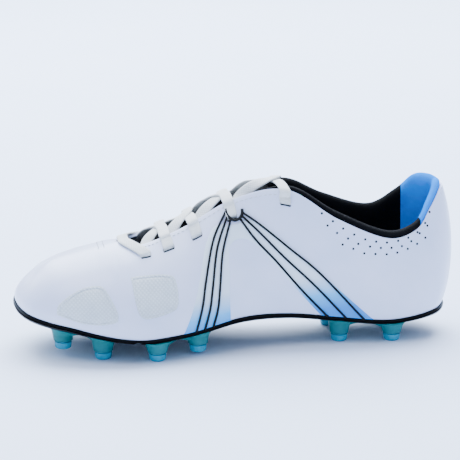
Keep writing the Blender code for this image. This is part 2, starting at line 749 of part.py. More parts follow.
def joined(name, meshes, colour, roughness, parent=None):
    """Several overlapping solids made one body by Boolean union."""
    whole = finish(name, meshes[0], colour, roughness, parent, False)
    for bm in meshes[1:]:
        join_solid(whole, finish("addition", bm, colour, roughness, None, False))
    return whole


def cord_mesh(side, route, radius, count):
    """A round cord that lies on the wall."""
    bm = bmesh.new()
    tube(bm, [wall(side, *locate(side, *p), CORD_W) for p in smooth_path(route, count)], radius)
    return bm


def build_overlays(forefoot):
    """The grip pads, the support bands and their cords, on both sides."""
    for side, side_name in SIDES:
        bm = bmesh.new()
        patch(bm, side, FRONT_PAD, OVERLAY, 20, 3)
        finish("grip_pad_front_" + side_name, bm, PAD_GREY, 0.7, forefoot)
        bm = bmesh.new()
        patch(bm, side, REAR_PAD, OVERLAY, 20, 3)
        finish("grip_pad_rear_" + side_name, bm, PAD_GREY, 0.7)
        bm = bmesh.new()
        band(bm, side, OVERLAY)
        finish("support_band_" + side_name, bm, BLUE, 0.5)
        meshes = [cord_mesh(side, LOOP_PATH, LOOP_RADIUS, 8)]
        meshes += [cord_mesh(side, route, CORD_RADIUS, 9) for route in FRONT_CORDS + REAR_CORDS]
        joined("support_cords_" + side_name, meshes, BLACK, 0.6)


def strap_route(u, v_slot, w):
    """Side to side over the throat at one station, from slot to slot."""
    vs = (v_slot, 0.93, 1.0)
    lateral = [wall(LATERAL, u, v, w) for v in vs]
    medial = [wall(MEDIAL, u, v, w) for v in reversed(vs)]
    crown = 0.5 * (lateral[-1] + medial[0]) + UP * THROAT_CROWN
    return lateral + [crown] + medial


def wall_block(side, us, vs, layer):
    """A closed block of the space along the wall."""
    bm = bmesh.new()
    add_slab(bm, *[[[wall(side, u, v, w) for v in vs] for u in us] for w in layer])
    return bm


def build_lace():
    """One lace that crosses the throat at each row and runs on to the next row under the eyestay."""
    meshes = []
    spans = [(start + STRAP_INSET_U, end - STRAP_INSET_U) for start, end, _ in SLOTS]
    for span, (_, _, (low, high)) in zip(spans, SLOTS):
        leg = (low + 0.32 * (high - low), high - 0.28 * (high - low))
        leg_span = (span[0] + 2 * STRAP_INSET_U, span[1] - 2 * STRAP_INSET_U)
        grids = [[strap_route(u, low + 0.22 * (high - low), w) for u in span] for w in STRAP_W]
        bm = bmesh.new()
        add_slab(bm, grids[1], grids[0])
        meshes.append(bm)
        for side, _ in SIDES:
            meshes.append(wall_block(side, leg_span, leg, (STRAP_W[0] + 0.6, UNDER_RUN[0] - 0.5)))
    for row in range(len(SLOTS) - 1):
        side = MEDIAL if row % 2 == 0 else LATERAL
        us = spread(spans[row][0], spans[row + 1][1], 3)
        vs = (SLOTS[row][2][0] - 0.02, SLOTS[row + 1][2][1] + 0.02)
        meshes.append(wall_block(side, us, vs, UNDER_RUN))
    meshes.append(wall_block(LATERAL, spans[0], (0.55, 0.83), UNDER_RUN))
    meshes.append(wall_block(MEDIAL, spans[-1], spread(0.55, 0.89, 2), UNDER_RUN))
    joined("lace", meshes, LACE_WHITE, 0.9)
    finish("lace_tip_lower", wall_block(LATERAL, spans[0], (0.40, 0.54), UNDER_RUN), LACE_WHITE, 0.3)
    finish("lace_tip_upper", wall_block(MEDIAL, spans[-1], (0.40, 0.54), UNDER_RUN), LACE_WHITE, 0.3)


def main():
    """Empties the scene and builds the boot."""
    for obj in list(bpy.data.objects):
        bpy.data.objects.remove(obj)
    forefoot = pivot("forefoot_pivot", FLEX_X, FLEX_Z)
    tongue_base = tongue_row(TONGUE_SPAN[0], TONGUE_BACK[0])[3]
    tongue_pivot = pivot("tongue_pivot", tongue_base.x, tongue_base.z)
    sock_edge = sole_point(station_at(SOCK_SPLIT_X), 0.0, SOCK_INSET, 0.0, True)
    sock_pivot = pivot("sockliner_pivot", SOCK_SPLIT_X, sock_edge.z + 2 * GAP + BOARD_THICK + SOCK_THICK)
    build_sole(forefoot, sock_pivot)
    build_studs(forefoot)
    build_vamp(forefoot)
    build_quarters()
    build_heel_layers()
    build_tongue(tongue_pivot)
    build_overlays(forefoot)
    build_lace()


main()
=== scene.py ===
"""Soccer cleat, left foot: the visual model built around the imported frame.

The upper is a thin shell laid over a shoemaker's last. The last is one surface: a station number u runs from
the toe tip (0) round a side to the back of the heel (16), v climbs from the feather edge (0) to the top edge
(1), and w is the distance outwards. Every sewn or moulded layer is a sheet laid on that surface.
Lengths are in millimetres until a mesh is written, which is in metres.
"""

import json
import logging
import math
from dataclasses import dataclass, field
from enum import Enum
from typing import Callable, Sequence

import bpy
import numpy as np
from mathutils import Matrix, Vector

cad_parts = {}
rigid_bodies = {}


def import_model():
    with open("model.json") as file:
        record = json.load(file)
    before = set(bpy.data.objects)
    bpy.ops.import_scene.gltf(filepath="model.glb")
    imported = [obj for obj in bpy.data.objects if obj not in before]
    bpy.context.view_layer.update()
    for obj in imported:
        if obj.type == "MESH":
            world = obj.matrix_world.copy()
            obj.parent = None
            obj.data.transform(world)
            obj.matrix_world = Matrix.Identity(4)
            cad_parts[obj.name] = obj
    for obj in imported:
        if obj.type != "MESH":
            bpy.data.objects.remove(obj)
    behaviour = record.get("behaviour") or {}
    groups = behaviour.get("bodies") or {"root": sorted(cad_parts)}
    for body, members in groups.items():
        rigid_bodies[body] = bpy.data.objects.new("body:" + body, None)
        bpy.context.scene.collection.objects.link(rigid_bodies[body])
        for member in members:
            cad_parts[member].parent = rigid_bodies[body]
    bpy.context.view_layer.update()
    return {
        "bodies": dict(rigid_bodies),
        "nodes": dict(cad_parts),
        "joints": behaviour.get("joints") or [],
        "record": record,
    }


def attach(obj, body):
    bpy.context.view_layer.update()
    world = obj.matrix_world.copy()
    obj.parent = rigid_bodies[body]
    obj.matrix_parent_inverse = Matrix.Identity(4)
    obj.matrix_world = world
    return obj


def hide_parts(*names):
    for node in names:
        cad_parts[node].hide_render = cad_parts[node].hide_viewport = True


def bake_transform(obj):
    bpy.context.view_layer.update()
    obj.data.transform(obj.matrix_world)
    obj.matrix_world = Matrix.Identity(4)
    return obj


LOG = logging.getLogger("cleat")
MM = 0.001
Points = np.ndarray
Values = np.ndarray | float
Node = bpy.types.Node
Socket = bpy.types.NodeSocket


class Side(Enum):
    """The two sides of a left boot, with the sign of their Y."""

    LATERAL = -1
    MEDIAL = 1


class Body(Enum):
    """The bodies of the frame."""

    REAR = "rearfoot"
    FORE = "forefoot"
    TONGUE = "tongue_flap"
    SOCK = "loose_sockliner"


# -------------------------------------------------------------------------------------------- the last
def along(table: Points, u: Points, mirrored: Sequence[int] = ()) -> Points:
    """Catmull-Rom values of a table's columns.

    Args:
        table: one row for each station.
        u: station numbers.
        mirrored: columns that change sign past either end of the table.

    Returns:
        One row of values for each u.
    """
    sign = np.ones(table.shape[1])
    sign[list(mirrored)] = -1.0
    padded = np.vstack([table[1] * sign, table, table[-2] * sign])
    i = np.clip(np.floor(u).astype(int), 0, len(table) - 2)
    return catmull(padded, i, (u - i)[:, None])


def unit(vectors: Points) -> Points:
    """Vectors scaled to length one."""
    return vectors / np.maximum(np.linalg.norm(vectors, axis=-1, keepdims=True), 1e-9)


def every_pair(first: Points, second: Points) -> tuple[Points, Points]:
    """Every pair of two lists of values, as two flat arrays."""
    a, b = np.meshgrid(first, second)
    return a.ravel(), b.ravel()


def catmull(knots: Points, i: Points, t: Points) -> Points:
    """Values a share t past each knot i + 1 of a list that has one more knot at either end."""
    a, b, c, d = knots[i], knots[i + 1], knots[i + 2], knots[i + 3]
    return b + 0.5 * t * (c - a + t * (2 * a - 5 * b + 4 * c - d + t * (3 * (b - c) + d - a)))


def smoothstep(x: Points, low: float, high: float) -> Points:
    """0 below low, 1 above high, and a smooth ramp between them."""
    t = np.clip((x - low) / (high - low), 0.0, 1.0)
    return t * t * (3.0 - 2.0 * t)


@dataclass
class Last:
    """The surface that the upper is laid over."""

    # x, lateral half width, medial half width and height of the feather edge at each station
    feather_rows: Points = field(default_factory=lambda: np.array((
        (-142.0, 0.0, 0.0, 33.5), (-139.5, 13.0, 13.0, 30.8), (-133.0, 25.5, 24.5, 28.6),
        (-122.0, 34.5, 33.0, 26.3), (-108.0, 40.5, 38.5, 23.8), (-92.0, 45.0, 42.5, 20.0),
        (-76.0, 47.8, 45.0, 17.2), (-60.0, 48.0, 45.5, 16.4), (-33.0, 42.3, 39.0, 18.5),
        (0.0, 32.3, 31.0, 23.5), (30.0, 27.5, 28.0, 22.8), (60.0, 28.6, 29.0, 19.5),
        (90.0, 30.5, 31.0, 16.5), (110.0, 28.5, 28.5, 17.6), (126.0, 20.5, 20.5, 19.2),
        (133.8, 9.0, 9.0, 20.0), (135.6, 0.0, 0.0, 20.3))))
    # x, half width and height of the top edge: lateral side, then medial side
    top_rows: Points = field(default_factory=lambda: np.array((
        (-118.0, 0.0, 57.5, -118.0, 0.0, 57.5), (-116.5, 0.0, 58.0, -116.5, 0.0, 58.0),
        (-113.0, 0.0, 59.2, -113.0, 0.0, 59.2), (-106.0, 0.0, 61.2, -106.0, 0.0, 61.2),
        (-98.0, 0.0, 63.2, -98.0, 0.0, 63.2), (-89.0, 0.0, 65.2, -89.0, 0.0, 65.2),
        (-78.5, 0.0, 67.3, -78.5, 0.0, 67.3), (-64.0, 13.0, 67.5, -64.0, 13.0, 68.0),
        (-36.0, 12.5, 77.8, -36.0, 12.5, 78.5), (-4.0, 11.0, 94.5, -4.0, 11.5, 94.5),
        (28.0, 20.5, 101.5, 30.0, 20.0, 99.0), (60.0, 25.0, 82.5, 60.0, 24.5, 85.0),
        (92.0, 27.5, 69.2, 90.0, 26.5, 76.0), (112.0, 22.8, 72.6, 109.0, 23.0, 86.5),
        (122.5, 17.0, 85.0, 120.0, 16.5, 97.0), (130.5, 9.0, 95.0, 129.0, 9.0, 99.0),
        (133.8, 0.0, 97.5, 133.8, 0.0, 97.5))))
    # pull outwards and up at the feather edge, reach outwards and drop at the top edge
    fullness_rows: Points = field(default_factory=lambda: np.array((
        (0.5, 8.0, 12.0, 4.4), (1.0, 9.0, 13.5, 4.4), (1.5, 12.0, 18.0, 3.9), (2.0, 16.0, 23.0, 2.6),
        (2.5, 19.0, 26.0, 1.2), (3.0, 22.0, 28.0, 0.6), (3.0, 22.0, 28.0, 0.0), (2.0, 22.0, 17.0, 6.0),
        (3.5, 20.0, 13.0, 9.0), (4.0, 20.0, 11.0, 13.0), (3.0, 20.0, 9.0, 22.0), (2.5, 16.0, 4.0, 22.0),
        (3.0, 14.0, 2.0, 18.0), (4.0, 16.0, 4.0, 18.0), (5.5, 18.0, 6.0, 22.0), (7.0, 20.0, 8.5, 25.0),
        (7.5, 20.0, 9.5, 25.0))))
    # height of the sole plate's underside along its centre line
    plate_low: Points = field(default_factory=lambda: np.array((
        (30.0,), (26.0,), (22.5,), (19.0,), (16.2,), (14.2,), (12.8,), (12.5,), (13.8,), (17.2,), (18.3,),
        (15.4,), (12.6,), (12.5,), (13.2,), (15.0,), (16.5,))))
    throat: float = 6.0
    centre: Points = field(default_factory=lambda: np.array((0.9, 1.25, 0.0)))
    guesses: dict = field(default_factory=dict)

    @property
    def heel(self) -> float:
        """The last station, at the back of the heel."""
        return float(len(self.feather_rows) - 1)

    def feather(self, side: Side, u: Points) -> Points:
        """Points on the feather edge."""
        rows = along(self.feather_rows, u, (1, 2))
        half = rows[:, 1] if side is Side.LATERAL else rows[:, 2]
        return np.stack((rows[:, 0], side.value * half, rows[:, 3]), 1)

    def top(self, side: Side, u: Points) -> Points:
        """Points on the top edge: the ridge of the vamp, the throat edge and the topline."""
        rows = along(self.top_rows, u, (1, 4))
        x, half, z = (rows[:, 0:3] if side is Side.LATERAL else rows[:, 3:6]).T
        half = np.where(u <= self.throat, 0.0, half)
        return np.stack((x, side.value * half, z), 1)

    def outward(self, side: Side, u: Points) -> Points:
        """Plan direction out of the boot at the feather edge."""
        step = 0.02
        ahead = self.feather(side, np.minimum(u + step, self.heel))
        run = ahead - self.feather(side, np.maximum(u - step, 0.0))
        normal = unit(np.stack((-side.value * run[:, 1], side.value * run[:, 0], np.zeros(len(u))), 1))
        normal[u < step] = (-1.0, 0.0, 0.0)
        normal[u > self.heel - step] = (1.0, 0.0, 0.0)
        return normal

    def point(self, side: Side, u: Points, v: Points) -> Points:
        """Points on the bare surface."""
        out, up, reach, drop = along(self.fullness_rows, u).T[:, :, None]
        normal = self.outward(side, u)
        low, high = self.feather(side, u), self.top(side, u)
        rise = np.array((0.0, 0.0, 1.0))
        first = low + normal * out + rise * up
        second = high + normal * reach - rise * drop
        t = v[:, None]
        s = 1.0 - t
        return low * s ** 3 + first * (3 * s * s * t) + second * (3 * s * t * t) + high * t ** 3

    def normal(self, side: Side, u: Points, v: Points) -> Points:
        """Unit directions out of the surface."""
        step = 0.01
        ahead = self.point(side, np.minimum(u + step, self.heel), v)
        du = ahead - self.point(side, np.maximum(u - step, 0.0), v)
        dv = self.point(side, u, v + step) - self.point(side, u, v - step)
        normal = np.cross(du, dv)
        facing = np.sum(normal * (self.outward(side, u) + (0.0, 0.0, 1.0)), axis=1)
        normal[facing < 0] *= -1.0
        on_centre = (u <= 0.0) | (u >= self.heel) | ((u <= self.throat) & (v == 1.0))
        normal[on_centre, 1] = 0.0
        return unit(normal)

    def at(self, side: Side, u: Values, v: Values, w: Values) -> Points:
        """Points at distance w outside the surface; u, v and w are arrays or single numbers."""
        u, v, w = (np.array(a, float) for a in np.broadcast_arrays(*(np.atleast_1d(x) for x in (u, v, w))))
        return self.point(side, u, v) + self.normal(side, u, v) * w[:, None]

    def locate(self, side: Side, x: Points, z: Points) -> tuple[Points, Points]:
        """Stations and heights of the places that show at x and z in side view."""
        if side not in self.guesses:
            grid_u, grid_v = every_pair(np.linspace(2.0, 15.9, 200), np.linspace(0.0, 1.0, 60))
            self.guesses[side] = (grid_u, grid_v, self.point(side, grid_u, grid_v))
        grid_u, grid_v, seen = self.guesses[side]
        best = [int(np.argmin((seen[:, 0] - a) ** 2 + (seen[:, 2] - b) ** 2)) for a, b in zip(x, z)]
        u, v = grid_u[best], grid_v[best]
        step = 0.005
        for _ in range(8):
            here = self.point(side, u, v)
            pu = (self.point(side, u + step, v) - here) / step
            pv = (self.point(side, u, v + step) - here) / step
            det = pu[:, 0] * pv[:, 2] - pv[:, 0] * pu[:, 2]
            ex, ez = x - here[:, 0], z - here[:, 2]
            u = np.clip(u + (ex * pv[:, 2] - pv[:, 0] * ez) / det, 0.5, self.heel - 0.1)
            v = np.clip(v + (pu[:, 0] * ez - ex * pu[:, 2]) / det, 0.0, 1.0)
        return u, v

    def seen_at(self, side: Side, flat: Points, w: Values) -> Points:
        """Points at distance w outside the places that show at x and z in side view."""
        return self.at(side, *self.locate(side, flat[:, 0], flat[:, 1]), w)

    def sole(self, u: Points, t: Points, inset: float, upper_face: bool, rim: float = 3.0) -> Points:
        """Points on the dished sole plate: t is -1 on the lateral edge and 1 on the medial edge."""
        edges = [self.feather(s, u) - self.outward(s, u) * inset for s in Side]
        share = 0.5 * (t[:, None] + 1.0)
        plan = edges[0] * (1.0 - share) + edges[1] * share
        edge_z = plan[:, 2] - 0.3 - (0.0 if upper_face else rim)
        middle_z = along(self.plate_low, u)[:, 0] + (2.2 if upper_face else 0.0)
        fade = np.minimum(1.0, np.linalg.norm(edges[1] - edges[0], axis=1) / 24.0)
        plan[:, 2] = edge_z + (middle_z - edge_z) * (1.0 - np.abs(t) ** 2.6) * fade
        return plan

    def station(self, x: Points) -> Points:
        """Stations whose feather edge lies at x."""
        u = np.linspace(0.0, self.heel, 800)
        return np.interp(x, self.feather(Side.LATERAL, u)[:, 0], u)

    def under_plate(self, x: Points, y: Points) -> Points:
        """Heights of the plate's underside at places in plan."""
        u = self.station(x)
        low, high = self.feather(Side.LATERAL, u)[:, 1], self.feather(Side.MEDIAL, u)[:, 1]
        t = np.clip(2.0 * (y - low) / (high - low) - 1.0, -1.0, 1.0)
        return self.sole(u, t, 0.0, False)[:, 2]

    def row(self, points: Points) -> Points:
        """Points of the last, in millimetres, put in the row frame in metres."""
        return (points + self.centre) * MM


LAST = Last()


# ------------------------------------------------------------------------------------------- mesh work
def deselect() -> None:
    """Leaves object mode with nothing selected."""
    if bpy.context.object is not None and bpy.context.object.mode != "OBJECT":
        bpy.ops.object.mode_set(mode="OBJECT")
    bpy.ops.object.select_all(action="DESELECT")


def pick(*objects: bpy.types.Object) -> bpy.types.Object:
    """Selects objects and makes the first one active."""
    deselect()
    for obj in objects:
        obj.select_set(True)
    bpy.context.view_layer.objects.active = objects[0]
    return objects[0]


def span(low: float, high: float, count: int) -> Points:
    """Evenly spaced values, both ends included."""
    return np.linspace(low, high, count + 1)


def lay_grid(name: str, rows: Sequence, columns: Sequence, place: Callable[[Points, Points], Points],
             size: tuple[float, float] = (1.0, 1.0)) -> bpy.types.Object:
    """A grid primitive whose points are put in place.

    Args:
        name: the new object's name.
        rows: values along the grid's first direction.
        columns: values along its second direction.
        place: takes a row value and a column value for each point, and gives the points in millimetres.
        size: the sheet's length and width in millimetres, for its UV map.

    Returns:
        The object, at the origin.
    """
    deselect()
    bpy.ops.mesh.primitive_grid_add(x_subdivisions=len(rows) - 1, y_subdivisions=len(columns) - 1, size=2.0)
    obj = bpy.context.object
    obj.name = name
    co = np.zeros(len(obj.data.vertices) * 3)
    obj.data.vertices.foreach_get("co", co)
    co = co.reshape(-1, 3)
    i = np.rint((co[:, 0] + 1.0) * 0.5 * (len(rows) - 1)).astype(int)
    j = np.rint((co[:, 1] + 1.0) * 0.5 * (len(columns) - 1)).astype(int)
    points = LAST.row(place(np.asarray(rows, float)[i], np.asarray(columns, float)[j]))
    obj.data.vertices.foreach_set("co", points.ravel())
    uv = obj.data.uv_layers.active.data
    values = np.zeros(len(uv) * 2)
    uv.foreach_get("uv", values)
    uv.foreach_set("uv", (values.reshape(-1, 2) * np.array(size) * 0.01).ravel())
    obj.data.update()
    return obj


def apply(obj: bpy.types.Object, kind: str, **settings: object) -> None:
    """Adds a modifier with its settings and applies it."""
    pick(obj)
    modifier = obj.modifiers.new(kind.lower(), kind)
    for key, value in settings.items():
        setattr(modifier, key, value)
    bpy.ops.object.modifier_apply(modifier=modifier.name)


def edit(obj: bpy.types.Object) -> None:
    """Opens a mesh in edit mode with everything selected."""
    pick(obj)
    bpy.ops.object.mode_set(mode="EDIT")
    bpy.ops.mesh.select_all(action="SELECT")


def merge(obj: bpy.types.Object, distance: float = 0.02, fill: bool = False) -> None:
    """Merges points nearer than a distance in mm, fills open ends if asked, and faces it outwards."""
    edit(obj)
    bpy.ops.mesh.remove_doubles(threshold=distance * MM)
    if fill:
        bpy.ops.mesh.fill_holes(sides=0)
    bpy.ops.mesh.normals_make_consistent(inside=False)
    bpy.ops.object.mode_set(mode="OBJECT")


def tube(name: str, rows: Sequence, around: int, place: Callable[[Points, Points], Points],
         size: tuple[float, float] = (1.0, 1.0), gap: float = 0.004) -> bpy.types.Object:
    """A piece whose rows of points go right round it, filled at both ends.

    Args:
        name: the new object's name.
        rows: values along the piece.
        around: how many points go round it.
        place: as for lay_grid, with whole numbers below around as its column values.
        size: as for lay_grid.
        gap: points nearer than this, in millimetres, are merged.

    Returns:
        The object, closed, with its faces outwards.
    """
    obj = lay_grid(name, rows, range(around + 1), lambda row, k: place(row, k.astype(int) % around), size)
    merge(obj, gap, fill=True)
    return obj


def flip(obj: bpy.types.Object) -> None:
    """Turns every face of a mesh over."""
    edit(obj)
    bpy.ops.mesh.flip_normals()
    bpy.ops.object.mode_set(mode="OBJECT")


def join(objects: Sequence[bpy.types.Object], name: str) -> bpy.types.Object:
    """Joins meshes into one object."""
    obj = pick(*objects)
    if len(objects) > 1:
        bpy.ops.object.join()
    obj.name = name
    return obj


def shade(obj: bpy.types.Object, angle: float = 40.0) -> bpy.types.Object:
    """Smooth shading with edges sharper than an angle kept."""
    pick(obj)
    bpy.ops.object.shade_smooth_by_angle(angle=math.radians(angle))
    return obj


def drop_faces(obj: bpy.types.Object, doomed: Callable[[Points], Points]) -> None:
    """Deletes the faces whose centres, in millimetres in the row frame, a test picks."""
    pick(obj)
    centres = np.zeros(len(obj.data.polygons) * 3)
    obj.data.polygons.foreach_get("center", centres)
    chosen = doomed(centres.reshape(-1, 3) / MM)
    obj.data.vertices.foreach_set("select", np.zeros(len(obj.data.vertices), bool))
    obj.data.edges.foreach_set("select", np.zeros(len(obj.data.edges), bool))
    obj.data.polygons.foreach_set("select", chosen)
    bpy.ops.object.mode_set(mode="EDIT")
    bpy.ops.mesh.select_mode(type="FACE")
    bpy.ops.mesh.delete(type="FACE")
    bpy.ops.mesh.select_mode(type="VERT")
    bpy.ops.object.mode_set(mode="OBJECT")


def smooth_path(points: Sequence, count: int) -> Points:
    """Points on a smooth curve through the given ones.

    Args:
        points: the curve's own points.
        count: how many spans to read it in.

    Returns:
        count + 1 points, evenly numbered along it.
    """
    knots = np.asarray(points, float)
    padded = np.array([2 * knots[0] - knots[1], *knots, 2 * knots[-1] - knots[-2]])
    u = np.linspace(0.0, len(knots) - 1, count + 1)
    i = np.minimum(u.astype(int), len(knots) - 2)
    return catmull(padded, i, (u - i)[:, None])


def even_path(points: Points, count: int) -> Points:
    """The same path read at evenly spaced lengths."""
    steps = np.linalg.norm(np.diff(points, axis=0), axis=1)
    length = np.concatenate(([0.0], np.cumsum(steps)))
    wanted = np.linspace(0.0, length[-1], count + 1)
    return np.stack([np.interp(wanted, length, points[:, k]) for k in range(points.shape[1])], 1)


def sweep(name: str, path: Points, across: Points, profile: Points) -> bpy.types.Object:
    """A closed strip with one cross-section along a path.

    Args:
        name: the new object's name.
        path: points of the middle line.
        across: the direction of the section's first axis at each of them.
        profile: the section's points, going round, in millimetres.

    Returns:
        The object, closed at both ends.
    """
    tangent = unit(np.gradient(path, axis=0))
    first = unit(across - tangent * np.sum(across * tangent, axis=1, keepdims=True))
    second = np.cross(tangent, first)

    def place(i: Points, k: Points) -> Points:
        """Points of the section at each place of the path."""
        i = i.astype(int)
        return path[i] + first[i] * profile[k, 0:1] + second[i] * profile[k, 1:2]

    length = float(np.linalg.norm(np.diff(path, axis=0), axis=1).sum())
    girth = float(np.linalg.norm(np.diff(profile, axis=0), axis=1).sum())
    return tube(name, range(len(path)), len(profile), place, (length, girth))


def round_profile(radius: float, sides: int = 10) -> Points:
    """A circle's points."""
    turn = np.linspace(0.0, 2.0 * math.pi, sides, endpoint=False)
    return np.stack((np.cos(turn), np.sin(turn)), 1) * radius


def flat_profile(width: float, thick: float) -> Points:
    """A flat strip's section with rounded edges and a slightly crowned face."""
    half, rise = 0.5 * width, 0.5 * thick
    right = [(half - inset * rise, z * rise)
             for inset, z in ((1.0, -1.0), (0.25, -0.6), (0.0, 0.0), (0.25, 0.6), (1.0, 1.0))]
    face = [(x * half, rise * 1.12) for x in (0.5, 0.17, -0.17, -0.5)]
    return np.array(right + face + [(-x, -z) for x, z in right] + [(-x, -z) for x, z in face])


# -------------------------------------------------------------------------------------------- finishes
def colour(code: str) -> tuple[float, float, float, float]:
    """An sRGB hex colour as linear values."""
    parts = [int(code[i:i + 2], 16) / 255.0 for i in (1, 3, 5)]
    linear = [c / 12.92 if c <= 0.04045 else ((c + 0.055) / 1.055) ** 2.4 for c in parts]
    return (linear[0], linear[1], linear[2], 1.0)


class Pattern(Enum):
    """What a finish's relief looks like."""

    GRAIN = "fine grain"
    WEAVE = "woven tape"
    KNIT = "knitted lining"
    DOTS = "rows of raised dots"
    CELLS = "open foam cells"


@dataclass
class Shader:
    """A node material while it is built."""

    name: str
    tree: bpy.types.NodeTree = field(init=False)
    material: bpy.types.Material = field(init=False)

    def __post_init__(self) -> None:
        """Makes the empty material."""
        self.material = bpy.data.materials.new(self.name)
        self.material.use_nodes = True
        self.tree = self.material.node_tree
        self.tree.nodes.clear()

    def node(self, kind: str, inputs: dict | None = None, **settings: object) -> Node:
        """Adds a node.

        Args:
            kind: the node's type, without the ShaderNode prefix.
            inputs: input name, or its number where names repeat, to a value or to another node's output.
            settings: the node's own properties.

        Returns:
            The node.
        """
        made = self.tree.nodes.new("ShaderNode" + kind)
        for key, value in settings.items():
            setattr(made, key, value)
        for key, value in (inputs or {}).items():
            if isinstance(value, bpy.types.NodeSocket):
                self.tree.links.new(value, made.inputs[key])
            else:
                made.inputs[key].default_value = value
        return made

    def ramp(self, value: Socket, stops: Sequence[tuple[float, str]]) -> Socket:
        """Colours chosen by a value, from (place, hex colour) stops."""
        made = self.node("ValToRGB", {"Fac": value})
        elements = made.color_ramp.elements
        while len(elements) < len(stops):
            elements.new(0.5)
        for element, (place, code) in zip(elements, stops):
            element.position = place
            element.color = colour(code)
        return made.outputs["Color"]

    def noise(self, size: float, detail: float = 2.0) -> Socket:
        """Noise with lumps of a size in millimetres."""
        place = self.node("TexCoord").outputs["Object"]
        settings = {"Vector": place, "Scale": 1.0 / (size * MM), "Detail": detail}
        return self.node("TexNoise", settings).outputs["Fac"]

    def waves(self, pitch: float, turn: float) -> Socket:
        """Parallel ridges across a piece's own UV map, by their pitch in millimetres and their direction."""
        place = self.node("TexCoord").outputs["UV"]
        turned = self.node("Mapping", {"Vector": place, "Rotation": (0.0, 0.0, turn)})
        settings = {"Vector": turned.outputs["Vector"], "Scale": 31.4 / pitch}
        return self.node("TexWave", settings, wave_profile="SIN").outputs["Fac"]

    def maths(self, how: str, a: Socket, b: Socket | float) -> Socket:
        """A Math node's result."""
        return self.node("Math", {0: a, 1: b}, operation=how).outputs[0]

    def blend_colours(self, share: Socket | float, a: Socket, b: Socket, how: str = "MIX") -> Socket:
        """Two colours mixed by a share."""
        return self.node("Mix", {0: share, 6: a, 7: b}, data_type="RGBA", blend_type=how).outputs[2]

    def finish(self, settings: dict, height: Socket, depth: float) -> bpy.types.Material:
        """Adds the Principled BSDF, its relief and the output, and gives the material."""
        bump = self.node("Bump", {"Height": height, "Distance": depth * MM, "Strength": 1.0})
        shell = self.node("BsdfPrincipled", {**settings, "Normal": bump.outputs["Normal"]})
        self.node("OutputMaterial", {"Surface": shell.outputs["BSDF"]})
        return self.material


@dataclass(frozen=True)
class Finish:
    """A real material: two close colours that drift into each other, a relief and a gloss, and where asked
    painted shade that darkens the relief's hollows.
    """

    name: str
    light: str
    dark: str
    rough: tuple[float, float] = (0.4, 0.5)
    mottle: float = 18.0
    pattern: Pattern = Pattern.GRAIN
    pitch: float = 0.5
    depth: float = 0.03
    # share of painted shade multiplied into the relief's low places
    shade: float = 0.0
    extra: tuple[tuple[str, float], ...] = ()

    def relief(self, shader: Shader) -> Socket:
        """Heights of the pattern, from 0 to 1."""
        if self.pattern is Pattern.WEAVE:
            ribs = shader.maths("MULTIPLY", shader.waves(self.pitch, 0.6), shader.waves(self.pitch, -0.6))
            return shader.maths("ADD", ribs, shader.maths("MULTIPLY", shader.noise(0.25), 0.5))
        if self.pattern is Pattern.KNIT:
            return shader.maths("MAXIMUM", shader.waves(self.pitch, 0.9), shader.waves(self.pitch, -0.9))
        if self.pattern is Pattern.DOTS:
            return shader.maths("MULTIPLY", shader.waves(self.pitch, 0.79), shader.waves(self.pitch, -0.79))
        if self.pattern is Pattern.CELLS:
            place = shader.node("TexCoord").outputs["Object"]
            settings = {"Vector": place, "Scale": 1.0 / (self.pitch * MM)}
            return shader.node("TexVoronoi", settings).outputs["Distance"]
        return shader.noise(self.pitch, 4.0)

    def base(self, shader: Shader) -> Socket:
        """The drifting colour."""
        return shader.ramp(shader.noise(self.mottle), ((0.3, self.dark), (0.7, self.light)))

    def build(self) -> bpy.types.Material:
        """Makes the material."""
        shader = Shader(self.name)
        height = self.relief(shader)
        tint = self.base(shader)
        # painted shade: darker colour where the relief is low
        if self.shade:
            hollow_shade = shader.ramp(height, ((0.0, "#000000"), (0.6, "#FFFFFF")))
            tint = shader.blend_colours(self.shade, tint, hollow_shade, "MULTIPLY")
        low, high = self.rough
        rough = shader.node("MapRange", {"Value": shader.noise(6.0), "To Min": low, "To Max": high})
        settings = {"Base Color": tint, "Roughness": rough.outputs["Result"], **dict(self.extra)}
        return shader.finish(settings, height, self.depth)


@dataclass(frozen=True)
class FadedFinish(Finish):
    """A finish whose colour fades with height, as the blue does on the support band."""

    low_colour: str = "#0084D4"
    mid_colour: str = "#4EB2EA"
    fade: tuple[float, float] = (18.0, 42.0)
    slope: float = 0.0

    def base(self, shader: Shader) -> Socket:
        """Blue at the sole that thins to the pale film above."""
        place = shader.node("SeparateXYZ", {"Vector": shader.node("TexCoord").outputs["Object"]})
        lean = shader.maths("MULTIPLY", place.outputs["X"], -self.slope)
        height = shader.maths("ADD", place.outputs["Z"], lean)
        low, high = (z * MM for z in self.fade)
        share = shader.node("MapRange", {"Value": height, "From Min": low, "From Max": high})
        cloud = shader.maths("MULTIPLY", shader.maths("SUBTRACT", shader.noise(9.0), 0.5), 0.12)
        share = shader.maths("ADD", share.outputs["Result"], cloud)
        stops = ((0.05, self.low_colour), (0.45, self.mid_colour), (0.9, self.dark), (1.0, self.light))
        return shader.ramp(share, stops)


# pearly coated synthetic leather: a soft gloss with a faint pebble; its white is tinted blue-lavender as
# painted light of the blue studio
UPPER_LIGHT_TINTED = Finish("coated_synthetic_light_tint", "#D6DCF2", "#CCD4EC", (0.3, 0.4), 24.0, Pattern.GRAIN, 0.45, 0.02,
               extra=(("Coat Weight", 0.35), ("Coat Roughness", 0.22), ("Subsurface Weight", 0.04),
                      ("Subsurface Scale", 0.002)))
# moulded grip film: greyer than the upper, with rows of raised dots and painted shade between them
GRIP = Finish("grip_film", "#D6DEE2", "#CBD4DA", (0.4, 0.55), 9.0, Pattern.DOTS, 1.7, 0.22, 0.16)
# translucent film of the support band: blue at the sole, pale above
BAND = FadedFinish("support_band_film", "#D6E4EC", "#CCDCE8", (0.3, 0.42), 14.0, Pattern.GRAIN, 0.6, 0.02,
                   slope=0.11)
